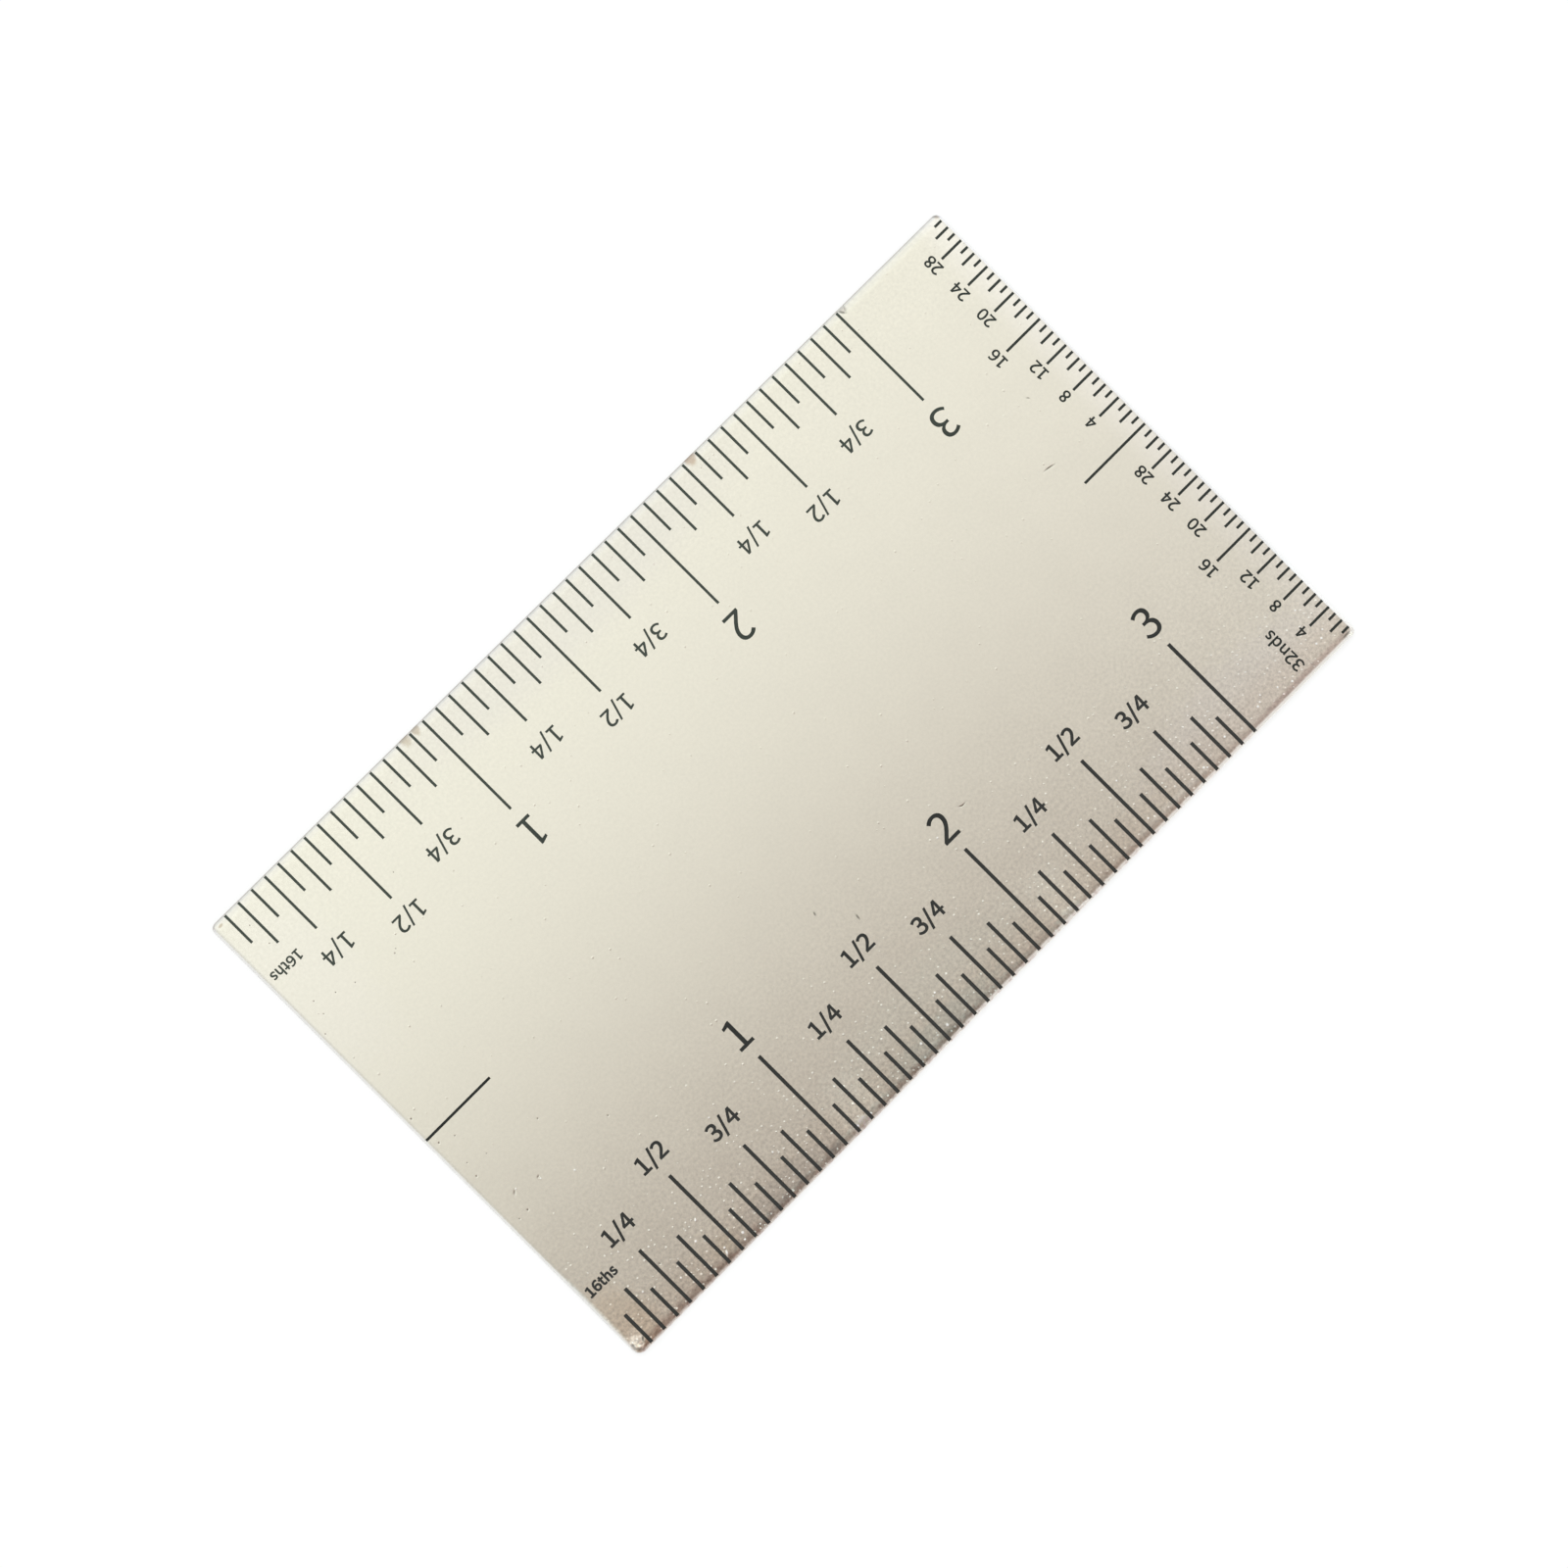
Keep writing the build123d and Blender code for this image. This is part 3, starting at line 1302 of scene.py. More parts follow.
        for triangle, region in cut.triangles:
            mesh.face(at(corner, heights[(corner, region)]) for corner in triangle)
        rim: dict[int, int] = {}
        for (a, b), region in sides.items():
            other = sides.get((b, a))
            if other is None:
                rim[a] = b
            elif other is not region:
                tops = heights[(a, region)], heights[(b, region)]
                floors = heights[(a, other)], heights[(b, other)]
                if sum(tops) > sum(floors):
                    mesh.face((at(a, tops[0]), at(a, floors[0]), at(b, floors[1]), at(b, tops[1])))
        self._close_below(mesh, cut, rim, sides, heights, stack)
        return mesh.piece("engraved_plate", steel)

    def _close_below(
        self,
        mesh: ReliefMesh,
        cut: CutPlan,
        rim: dict[int, int],
        sides: dict[tuple[int, int], Region],
        heights: dict[tuple[int, Region], float],
        stack: dict[int, set[float]],
    ) -> None:
        """Add the plate's side, the round of its back edge and its underside.

        Args:
            mesh: The mesh that gets them.
            cut: The cut plan.
            rim: The corner that follows each corner of the rim.
            sides: Region to the left of each directed side.
            heights: Height of each corner in each region.
            stack: All heights at each corner.
        """
        order = [next(iter(rim))]
        while rim[order[-1]] != order[0]:
            order.append(rim[order[-1]])
        rings: list[dict[int, int]] = []
        for step in range(self.back_steps + 1):
            angle = math.pi / 2 * step / self.back_steps
            inset = self.sizes.back_round * (1 - math.cos(angle))
            level = self.sizes.back_round * (1 - math.sin(angle))
            rings.append(
                {c: mesh.corner(*self._inset(*cut.corners[c], inset), level) for c in order}
            )
        for a, b in around(order):
            region = sides[(a, b)]
            ring: list[int] = []
            for corner in (a, b):
                x, y = cut.corners[corner]
                top = heights[(corner, region)]
                levels = sorted((z for z in stack[corner] if z <= top), reverse=True)
                column = [mesh.corner(x, y, z) for z in levels] + [rings[0][corner]]
                ring += column if corner == a else column[::-1]
            mesh.face(ring)
            for upper, lower in zip(rings, rings[1:]):
                mesh.face((upper[a], lower[a], lower[b], upper[b]))
        mesh.face(rings[-1][corner] for corner in reversed(order))

    def _inset(self, x: float, y: float, inset: float) -> Point:
        """Move a point of the outline inward, square to the edge.

        Args:
            x: Plan place along the plate.
            y: Plan place across it.
            inset: How far it moves, in mm.

        Returns:
            The moved point.
        """
        _, centre = self.sizes.corner(x, y)
        out = [max(abs(a) - abs(b), 0) * math.copysign(1, a) for a, b in zip((x, y), centre)]
        reach = math.hypot(*out)
        return x - inset * out[0] / reach, y - inset * out[1] / reach

    def figure_fill(self, cut: CutPlan, black: bpy.types.Material) -> bpy.types.Object:
        """Fill the sunk figures up to just below the face.

        Args:
            cut: The cut plan.
            black: The fill's finish.

        Returns:
            The fill of all figures, as one piece.
        """
        mesh = ReliefMesh()
        sides = cut.sides()

        def at(corner: int, depth: float) -> int:
            """Number of the mesh's corner at a depth below the face."""
            x, y = cut.corners[corner]
            return mesh.corner(x, y, self.sizes.face_height(x, y) - depth)

        top, floor = self.section.fill_recess, self.section.depth
        for triangle, region in cut.triangles:
            if region is Region.FIGURE:
                mesh.face(at(corner, top) for corner in triangle)
                mesh.face(at(corner, floor) for corner in reversed(triangle))
        for (a, b), region in sides.items():
            if region is Region.FIGURE and sides.get((b, a)) is not region:
                mesh.face((at(a, top), at(a, floor), at(b, floor), at(b, top)))
        return mesh.piece("figure_fill", black)


def on_plate(x_inches: float, y_inches: float) -> Point:
    """Plan point in mm of a place read in inches from the plain end and the upper edge."""
    sizes = PlateSizes()
    return x_inches * INCH - sizes.length / 2, sizes.width / 2 - y_inches * INCH


def wear_marks() -> list[Pit]:
    """Lay out the wear of the face, whose places are read in inches on the plate.

    Returns:
        The pits, raised flecks with a painted glint, scratches and burrs.
    """
    # Place, radius and depth
    pits = (
        (0.0213, 0.9147, 0.09, 0.03), (0.03, 1.035, 0.09, 0.03), (0.085, 1.055, 0.07, 0.02),
        (0.04, 1.2, 0.08, 0.025), (0.041, 1.3995, 0.08, 0.02), (0.0815, 1.3975, 0.1, 0.02),
        (0.322, 1.208, 0.08, 0.02), (0.497, 1.365, 0.09, 0.03), (0.117, 1.17, 0.06, 0.02),
        (0.05, 1.147, 0.06, 0.02), (0.07, 0.413, 0.07, 0.02), (0.143, 0.443, 0.07, 0.02),
        (0.063, 0.465, 0.06, 0.02), (0.213, 0.465, 0.06, 0.02), (0.377, 0.489, 0.07, 0.02),
        (0.02, 0.517, 0.07, 0.02), (0.102, 0.175, 0.06, 0.02), (0.098, 0.087, 0.06, 0.02),
        (0.567, 0.295, 0.06, 0.02), (0.267, 1.831, 0.09, 0.04), (0.39, 0.48, 0.06, 0.02),
    )
    # Place and radius of raised flecks that carry a painted glint
    flecks = (
        (3.066, 1.942, 0.12), (3.082, 1.936, 0.1), (3.367, 1.933, 0.12), (3.393, 1.932, 0.12),
        (3.397, 1.803, 0.1), (2.783, 1.957, 0.13), (1.577, 1.847, 0.1), (0.803, 1.837, 0.1),
        (0.16, 1.857, 0.1), (0.733, 1.607, 0.08), (1.96, 1.49, 0.09), (3.1, 1.92, 0.09),
        (2.537, 1.78, 0.09), (3.163, 1.943, 0.1), (2.792, 1.965, 0.09), (3.417, 1.913, 0.1),
        (0.1035, 1.3207, 0.07), (0.187, 1.354, 0.075), (0.288, 1.4147, 0.1), (1.53, 1.952, 0.16),
        (0.539, 1.954, 0.15), (0.284, 1.914, 0.1), (2.91, 1.934, 0.12), (0.528, 1.975, 0.1),
        (3.214, 1.964, 0.12), (2.522, 1.944, 0.1), (0.459, 1.946, 0.11), (0.406, 1.864, 0.11),
        (1.421, 1.934, 0.13), (0.602, 1.975, 0.08),
    )
    fleck_rise = 0.01
    # Place, half length, depth, slenderness, turn, bend, and grime and painted light
    slivers = (
        (1.575, 1.487, 0.36, 0.0, 0.3, 83, 0.0), (1.478, 1.378, 0.24, 0.0, 0.42, 75, 0.0),
        (2.1, 1.468, 0.42, 0.02, 0.16, -14, -0.12), (3.143, 0.88, 0.68, 0.02, 0.11, -10, 0.05),
        (3.262, 0.663, 0.24, 0.015, 0.2, -50, 0.05),
        # Raised burrs that carry a painted glint, and a dark sliver beside one
        (0.456, 1.813, 0.15, -0.03, 0.5, 50, 0.0, -1.0),
        (0.453, 1.963, 0.28, -0.03, 0.35, 60, 0.0, -1.0), (0.443, 1.972, 0.12, 0.03, 0.5, 60, 0.0),
        # Painted shade: dark lines around the knocked corner
        (0.009, 1.96, 0.34, 0.02, 0.4, 84, 0.0, 0.4),
        (0.0168, 1.9795, 0.6, 0.015, 0.24, -49, -0.07, 0.5),
        (0.0492, 1.965, 0.33, 0.02, 0.42, 51, 0.0),
        (0.036, 1.976, 0.28, 0.015, 0.35, -30, 0.03, 0.2),
        (0.03, 1.95, 0.26, 0.012, 0.5, 120, 0.05, 0.05),
        # Painted shade at the upper corner of the end scale
        (3.4845, 0.0105, 0.46, 0.01, 0.3, -43, 0.04, 0.7),
        # Darkened lines along the nick, then a painted shade line at the lower corner of the end
        # scale
        (3.0163, 0.016, 0.44, 0.0, 0.34, -56, 0.0), (3.0325, 0.0165, 0.32, 0.0, 0.34, 56, 0.0, 0.5),
        (3.0245, 0.0265, 0.16, 0.0, 0.8, 0, 0.0, 0.4), (3.462, 1.9835, 0.55, 0.01, 0.24, 4, 0.0),
        (0.0917, 1.3267, 0.26, 0.01, 0.45, 46, 0.0, 0.5),
        (0.1855, 1.3445, 0.18, 0.01, 0.55, 25, 0.0, 0.6),
    )
    marks = [Pit(*on_plate(x, y), radius, depth) for x, y, radius, depth in pits]
    marks += [Pit(*on_plate(x, y), size, -fleck_rise, dirt=-1.0) for x, y, size in flecks]
    marks += [Pit(*on_plate(x, y), *shape) for x, y, *shape in slivers]
    return marks


# Finishes


class EffectGroup:
    """A shader node group with named sockets that the finishes share."""

    VECTORS = ("Vector", "Centre", "Half Size")

    def __init__(self, name: str, inputs: Sequence[str], outputs: Sequence[str]) -> None:
        """Start the group.

        Args:
            name: The group's name.
            inputs: Names of its inputs, which are numbers unless they are in VECTORS.
            outputs: Names of its outputs, which are numbers.
        """
        self.tree = bpy.data.node_groups.new(name, "ShaderNodeTree")
        for in_out, names in (("INPUT", inputs), ("OUTPUT", outputs)):
            for socket in names:
                kind = "NodeSocketVector" if socket in self.VECTORS else "NodeSocketFloat"
                self.tree.interface.new_socket(name=socket, in_out=in_out, socket_type=kind)
        self.build = TreeBuilder(self.tree)
        self.given = self.build.wires(self.build.node("NodeGroupInput"))

    def finish(self, **results: Wire) -> None:
        """Join the results to the group's outputs."""
        self.build.node("NodeGroupOutput", results)

    def use(self, build: TreeBuilder, **inputs: Feed) -> dict[str, Wire]:
        """Put the group in a material.

        Args:
            build: The material's builder.
            inputs: What each input gets, with its name's spaces as underscores.

        Returns:
            The group's outputs, by name.
        """
        named = {name.replace("_", " "): source for name, source in inputs.items()}
        return build.wires(build.node("ShaderNodeGroup", named, node_tree=self.tree))


class Effects:
    """The shared effects: satin grain, worn specks that also carry painted glints, and soft ovals,
    some stained and some painted as light and shade.

    Attributes:
        NOISES: Scale input, detail and roughness of the grain and of the patches.
        SPECK_SIZES: Span of the specks' sizes, as shares of the radius.
        SPECK_CORE: Share of a speck's size that is at its full height.
        STAIN_EDGE: Span over which an oval patch eases in, as shares of its half size.
    """

    NOISES = (("Fine Scale", 2.0, 0.6), ("Patch Scale", 4.0, 0.5))
    SPECK_SIZES: Span = (0.6, 1.4)
    SPECK_CORE = 0.35
    STAIN_EDGE: Span = (1.15, 0.45)

    def __init__(self) -> None:
        """Build each group once."""
        self.grain = self._grain()
        self.specks = self._specks()
        self.stain = self._stain()

    def _grain(self) -> EffectGroup:
        """Build fine sandy grain, and broad patches of uneven polish.

        Returns:
            The group.
        """
        inputs = ("Vector", "Fine Scale", "Patch Scale")
        group = EffectGroup("satin_grain", inputs, ("Height", "Patches"))
        noises = []
        for scale, detail, roughness in self.NOISES:
            noise = {"Vector": group.given["Vector"], "Scale": group.given[scale]}
            noise |= {"Detail": detail, "Roughness": roughness}
            noises.append(group.build.out("ShaderNodeTexNoise", noise))
        group.finish(Height=noises[0], Patches=noises[1])
        return group

    def _specks(self) -> EffectGroup:
        """Build small round specks in a share of the cells of a net.

        Returns:
            The group.
        """
        group = EffectGroup("worn_and_glint_specks", ("Vector", "Scale", "Share", "Radius"), ("Specks",))
        build, given = group.build, group.given
        net = {"Vector": given["Vector"], "Scale": given["Scale"]}
        cells = build.wires(build.node("ShaderNodeTexVoronoi", net, voronoi_dimensions="2D"))
        pick = build.split(cells["Color"])
        radius = given["Radius"] * pick["Y"].span(*self.SPECK_SIZES)
        dome = cells["Distance"].ease(radius, radius * self.SPECK_CORE)
        group.finish(Specks=dome * build.math("LESS_THAN", pick["X"], given["Share"]))
        return group

    def _stain(self) -> EffectGroup:
        """Build an oval patch with a ragged, soft edge.

        Returns:
            The group.
        """
        inputs = ("Vector", "Centre", "Half Size", "Uneven", "Ragged")
        group = EffectGroup("soft_oval_patch", inputs, ("Mask",))
        build, given = group.build, group.given
        offset = build.vector("SUBTRACT", given["Vector"], given["Centre"])
        share = build.vector("DIVIDE", offset, given["Half Size"])
        reach = build.out("ShaderNodeVectorMath", {0: share}, "Value", operation="LENGTH")
        ragged = reach + (given["Uneven"] - 0.5) * given["Ragged"]
        group.finish(Mask=ragged.ease(*self.STAIN_EDGE))
        return group


@dataclass(frozen=True)
class Stain:
    """An oval of the face, read in inches on the plate: a patch that is stained or rubbed, or
    painted light or shade.

    Attributes:
        x: Its middle, from the plain end.
        y: Its middle, from the upper edge.
        half_width: Half its size along the plate, in mm.
        half_height: Half its size across the plate, in mm.
        colour: What it multiplies the steel's colour by.
        ragged: How uneven its edge is.
        rubbed: How much roughness it adds.
    """

    x: float
    y: float
    half_width: float
    half_height: float
    colour: Colour
    ragged: float = 1.5
    rubbed: float = 0.0


# Tints of brown and rust, and a pale tint for a painted corner highlight
BROWN, RUST, CORNER_HIGHLIGHT = (0.74, 0.68, 0.61), (0.72, 0.62, 0.55), (1.28, 1.4, 1.55)
STAINS_AND_LIGHT_PATCHES = (
    # Brown and rust staining along the upper edge
    Stain(0.911, 0.0, 0.6, 0.95, BROWN, 0.9),
    Stain(0.96, 0.005, 0.42, 0.8, BROWN, 0.9),
    Stain(2.283, 0.0, 0.7, 0.9, RUST, 0.9),
    Stain(0.028, 0.02, 0.28, 0.14, BROWN),
    # Painted highlights at the knocked corner and at the lower corner of the end scale
    Stain(0.025, 1.963, 0.7, 0.66, (1.3, 1.43, 1.64), 1.0, 0.8),
    Stain(3.484, 1.987, 0.46, 0.3, CORNER_HIGHLIGHT, 0.8, 0.8),
    Stain(0.035, 1.938, 0.9, 0.7, (1.08, 1.09, 1.12), 1.0, 0.05),
    # Painted shade at the upper corner of the end scale
    Stain(3.487, 0.012, 0.34, 0.3, (0.88, 0.83, 0.8)),
    # Painted light and shade along the lower edge: the paler ovals are highlights, the darker ones
    # shade
    Stain(1.28, 1.98, 29.0, 0.5, (1.0, 1.1, 1.13), 0.8),
    Stain(0.04, 1.9, 3.0, 5.0, (1.0, 0.95, 0.9), 0.5),
    Stain(1.11, 2.0, 3.1, 5.5, (1.11, 1.14, 1.15), 0.6),
    Stain(1.09, 1.977, 1.2, 0.6, (1.28, 1.34, 1.36)),
    Stain(2.12, 2.0, 3.1, 5.5, (1.1, 1.13, 1.14), 0.6),
    Stain(2.11, 1.977, 1.7, 0.65, (1.2, 1.28, 1.3)),
    Stain(0.76, 1.94, 7.0, 1.3, (0.88, 0.89, 0.91), 0.8),
    Stain(1.52, 1.943, 7.5, 1.3, (0.9, 0.95, 0.97), 0.8),
    Stain(1.52, 1.977, 1.1, 0.6, (0.74, 0.72, 0.7)),
    Stain(0.955, 1.977, 0.9, 0.6, (0.74, 0.74, 0.75)),
    Stain(0.71, 1.977, 1.2, 0.6, (0.86, 0.86, 0.88)),
    # Painted light and shade: a faint darkening along the upper edge, a highlight along the plain
    # end, ovals along the lower edge, and broad faint ovals that even out the steel's tone
    Stain(1.6, 0.06, 24.0, 4.5, (0.968, 0.966, 0.995), 0.3),
    Stain(0.0, 1.8, 0.38, 5.5, (1.12, 1.19, 1.27), 0.6, 0.1),
    Stain(3.26, 1.984, 8.0, 0.5, (0.9, 0.85, 0.87), 0.8),
    Stain(2.6, 1.967, 5.5, 0.45, (1.07, 1.1, 1.13), 0.8),
    Stain(0.47, 1.94, 1.8, 1.0, (0.93, 0.92, 0.89), 0.8),
    Stain(0.08, 0.35, 6.0, 11.0, (1.008, 1.006, 1.024), 0.7),
    Stain(3.05, 1.88, 13.0, 4.0, (1.002, 1.002, 1.035), 0.8),
    Stain(1.55, 1.87, 14.0, 4.5, (1.0, 1.02, 1.022), 0.8),
)


@dataclass(frozen=True)
class Zone:
    """A strip along an edge, into which an effect eases.

    Attributes:
        edge: The edge.
        start: Distance in from the edge at which there is nothing of the effect, in mm.
        end: Distance in from the edge from which there is all of it, in mm.
    """

    edge: Edge
    start: float
    end: float


@dataclass(frozen=True)
class Band(Zone):
    """A zone with a tint, which multiplies the steel's colour."""

    tint: Colour


# Darker and warmer towards the lower edge; the dark lines along the upper edge and the two ends are
# painted shade
BANDS = (
    Band(Edge.LOWER, 4.5, 1.5, (0.96, 0.93, 0.91)),
    Band(Edge.UPPER, 0.8, 0.4, (0.93, 0.925, 0.96)),
    Band(Edge.UPPER, 0.3, 0.2, (0.86, 0.885, 0.93)),
    Band(Edge.PLAIN_END, 0.36, 0.26, (0.93, 0.94, 0.96)),
    Band(Edge.SCALE_END, 0.45, 0.36, (0.93, 0.94, 0.96)),
)


@dataclass(frozen=True)
class SteelZones:
    """Where the steel is worn and handled, where its patina and painted shade lie, and where a
    highlight is painted on its rims.
    """

    worn: Zone = Zone(Edge.LOWER, 22.0, 0.5)
    worn_above: Zone = Zone(Edge.UPPER, 12.0, 0.5)
    coarse: Zone = Zone(Edge.LOWER, 6.5, 0.5)
    handled: Zone = Zone(Edge.PLAIN_END, 65.0, 15.0)
    # Patina on the lower roll, partly painted shade for the dark that the roll reflects, fading out
    # towards the scale end
    tarnished: Zone = Zone(Edge.LOWER, 1.4, 0.6)
    tarnished_beyond: Zone = Zone(Edge.SCALE_END, 0.0, 45.0)
    clean: Zone = Zone(Edge.SCALE_END, 3.5, 0.5)
    clean_above: Zone = Zone(Edge.UPPER, 60.0, 25.0)
    # The rims, which get a painted highlight, and where it is wider
    lower_rim: Zone = Zone(Edge.LOWER, 0.33, 0.11)
    wide_lower_rim: Zone = Zone(Edge.PLAIN_END, 32.0, 42.0)
    scale_rim: Zone = Zone(Edge.SCALE_END, 0.24, 0.14)
    wide_scale_rim: Zone = Zone(Edge.UPPER, 20.0, 48.0)
    plain_rim: Zone = Zone(Edge.PLAIN_END, 0.16, 0.06)
    rough_plain_rim: Zone = Zone(Edge.PLAIN_END, 0.3, 0.1)
    # Where the painted highlight on the lower rim is brighter
    polished: Zone = Zone(Edge.PLAIN_END, 29.0, 36.0)
    polished_below: Zone = Zone(Edge.UPPER, 38.0, 46.0)
    # The plain end's side wall, lighter as a painted highlight
    plain_side: Zone = Zone(Edge.PLAIN_END, 0.12, 0.02)


def new_material(name: str) -> tuple[bpy.types.Material, TreeBuilder]:
    """Make a material with an empty tree.

    Args:
        name: Its name.

    Returns:
        The material, and its tree's builder.
    """
    material = bpy.data.materials.new(name)
    material.use_nodes = True
    material.node_tree.nodes.clear()
    return material, TreeBuilder(material.node_tree)


class Place:
    """The place that is being shaded, and how far in it lies from the edges."""

    def __init__(self, build: TreeBuilder) -> None:
        """Measure the place from each edge, in mm.

        Args:
            build: The material's builder.
        """
        self.coords = build.out("ShaderNodeTexCoord", output="Object")
        split, sizes = build.split(self.coords), PlateSizes()
        self.reach: dict[Edge, Wire] = {}
        for edge in Edge:
            axis, half = ("Y", sizes.width / 2) if edge.is_long else ("X", sizes.length / 2)
            self.reach[edge] = split[axis] * (-sum(edge.value) / MM) + half

    def within(self, zone: Zone) -> Wire:
        """0 outside a zone and 1 well inside it."""
        return self.reach[zone.edge].ease(zone.start, zone.end)

    def within_widened(self, zone: Zone, growth: Wire) -> Wire:
        """The same for a zone that is wider by some mm."""
        return (self.reach[zone.edge] - growth).ease(zone.start, zone.end)


@dataclass(frozen=True)
class SatinSteel:
    """Finish of the plate: pale warm steel, worn and stained along its edges, with painted
    highlights on its rims and specks, and painted shade along its edges.

    The last five colours multiply the steel's. A span is the two ends between
    which a value varies. Noise has its scale per metre, and the speck's radius is a
    share of its cell.
    """

    effects: Effects
    zones: SteelZones = SteelZones()
    colour: Colour = (0.745, 0.7, 0.601)
    side: Colour = (0.56, 0.53, 0.48)
    # Lighter side wall at the plain end: a painted highlight
    plain_side: Colour = (0.84, 0.83, 0.8)
    dirt: Colour = (0.13, 0.12, 0.1)
    # Near-white painted glint of the marks that carry one
    spark: Colour = (0.97, 0.97, 0.95)
    # Patina tint of the lower roll, partly painted shade for the dark that the roll reflects
    tarnish: Colour = (0.72, 0.63, 0.62)
    clean: Colour = (1.08, 1.08, 1.13)
    # Painted highlight on the rims, and a brighter stretch of it on the lower rim
    burnished: Colour = (1.22, 1.28, 1.42)
    polished: Colour = (1.17, 1.2, 1.22)
    # Painted glint tint of the raised specks of worn steel
    fleck: Colour = (1.15, 1.2, 1.27)

    fine_scale: float = 3300.0
    patch_scale: float = 260.0
    grit: Span = (0.13, 0.62)
    coarse_grit: Span = (0.35, 0.62)
    patch_tone: Span = (0.97, 1.03)
    upper_wear: float = 0.25
    dirt_share: float = 0.8
    speck_scale: float = 1900.0
    speck_share: Span = (0.02, 0.3)
    speck_radius: float = 0.17
    blotch_scale: float = 1500.0
    blotch_edge: Span = (0.42, 0.72)
    rim_growth: float = 0.1
    stain_scale: float = 2200.0

    roughness: Span = (0.28, 0.32)
    fleck_roughness: float = 0.3
    rim_roughness: float = 0.25
    grain_height: float = 2.5e-6
    fleck_height: float = 4.0

    upward: Span = (0.2, 0.4)
    shear_stretch: float = 0.08
    shear_scale: float = 5000.0
    shear_patch_scale: float = 420.0
    shear_tone: Span = (0.8, 1.2)
    shear_patch_tone: Span = (0.9, 1.1)

    def material(self) -> bpy.types.Material:
        """Build the material.

        Returns:
            The material.
        """
        material, build = new_material("satin_steel")
        place = Place(build)
        grain = self.effects.grain.use(
            build, Vector=place.coords, Fine_Scale=self.fine_scale, Patch_Scale=self.patch_scale
        )
        worn = place.within(self.zones.worn)
        wear = worn.at_least(place.within(self.zones.worn_above) * self.upper_wear)
        coarse = place.within(self.zones.handled).span(*self.coarse_grit)
        grit = place.within(self.zones.coarse) * coarse + wear.span(*self.grit)

        # Flecks: small raised specks of the worn steel with a painted glint tint, and the marks
        # that carry a painted glint
        specks = self.effects.specks.use(
            build,
            Vector=place.coords,
            Scale=self.speck_scale,
            Share=build.math("POWER", wear, 3.0).span(*self.speck_share),
            Radius=self.speck_radius,
        )["Specks"]
        mark = build.out("ShaderNodeAttribute", output="Fac", attribute_name="dirt")
        glint_share = (mark * -1.0).at_least(0.0)
        flecks = (specks * worn).at_least(glint_share)

        # The face: its tints and grain stop at the rims, which get a painted highlight
        edges, bright, rough_rim = self._edges(build, place)
        stains_and_light, rubbed = self._stains(build, place)
        tint = build.vector("MULTIPLY", stains_and_light, build.blend(flecks, WHITE, self.fleck))
        # Painted highlight: on the rims the tints and the grain give way to plain bright steel
        tint = build.blend(bright, tint, WHITE)
        tone = (grain["Height"] - 0.5) * grit + grain["Patches"].span(*self.patch_tone)
        tone = bright * (1.0 - tone) + tone
        face = build.vector("MULTIPLY", build.vector("SCALE", edges, tone), tint)
        # Painted glint where a mark carries one
        face = build.blend(glint_share, face, self.spark)

        normal = build.split(build.out("ShaderNodeNewGeometry", output="True Normal"))
        on_face = normal["Z"].ease(*self.upward)
        colour = build.blend(on_face, self._sheared(build, place), face)
        rough = (flecks * self.fleck_roughness + rubbed + rough_rim) * on_face
        height = specks * self.fleck_height + grain["Height"]
        metal = {
            # Grime in pits and scratches, and painted shade at the worn corners, darken the colour
            "Base Color": build.blend(mark.at_least(0.0) * self.dirt_share, colour, self.dirt),
            "Metallic": 1.0,
            "Roughness": rough + grain["Patches"].span(*self.roughness),
            "Normal": build.bump(height, self.grain_height),
        }
        build.surface(build.out("ShaderNodeBsdfPrincipled", metal))
        return material

    def _sheared(self, build: TreeBuilder, place: Place) -> Wire:
        """Shade the duller steel of the sides and the underside, with fine upright shear lines.

        Args:
            build: The material's builder.
            place: The place on the plate.

        Returns:
            The colour, which is lighter on the plain end's side as a painted highlight.
        """
        squeezed = build.vector("MULTIPLY", place.coords, (1.0, 1.0, self.shear_stretch))
        lines = self.effects.grain.use(
            build, Vector=squeezed, Fine_Scale=self.shear_scale, Patch_Scale=self.shear_patch_scale
        )
        tone = lines["Height"].span(*self.shear_tone)
        patches = lines["Patches"].span(*self.shear_patch_tone)
        side = build.blend(place.within(self.zones.plain_side), self.side, self.plain_side)
        return build.vector("SCALE", side, tone * patches)

    def _stains(self, build: TreeBuilder, place: Place) -> tuple[Wire, Wire]:
        """Lay all the ovals over each other, the stained ones and the painted light and shade.

        Args:
            build: The material's builder.
            place: The place on the plate.

        Returns:
            What they multiply the colour by, and the roughness that they add.
        """
        tint: Feed = WHITE
        rubbed: Feed = 0.0
        noise = {"Vector": place.coords, "Scale": self.stain_scale, "Detail": 3.0}
        uneven = build.out("ShaderNodeTexNoise", noise)
        for stain in STAINS_AND_LIGHT_PATCHES:
            x, y = on_plate(stain.x, stain.y)
            mask = self.effects.stain.use(
                build,
                Vector=place.coords,
                Centre=(x * MM, y * MM, 0.0),
                Half_Size=(stain.half_width * MM, stain.half_height * MM, 1.0),
                Uneven=uneven,
                Ragged=stain.ragged,
            )["Mask"]
            tint = build.vector("MULTIPLY", build.blend(mask, WHITE, stain.colour), tint)
            if stain.rubbed:
                rubbed = mask * stain.rubbed + rubbed
        return tint, rubbed

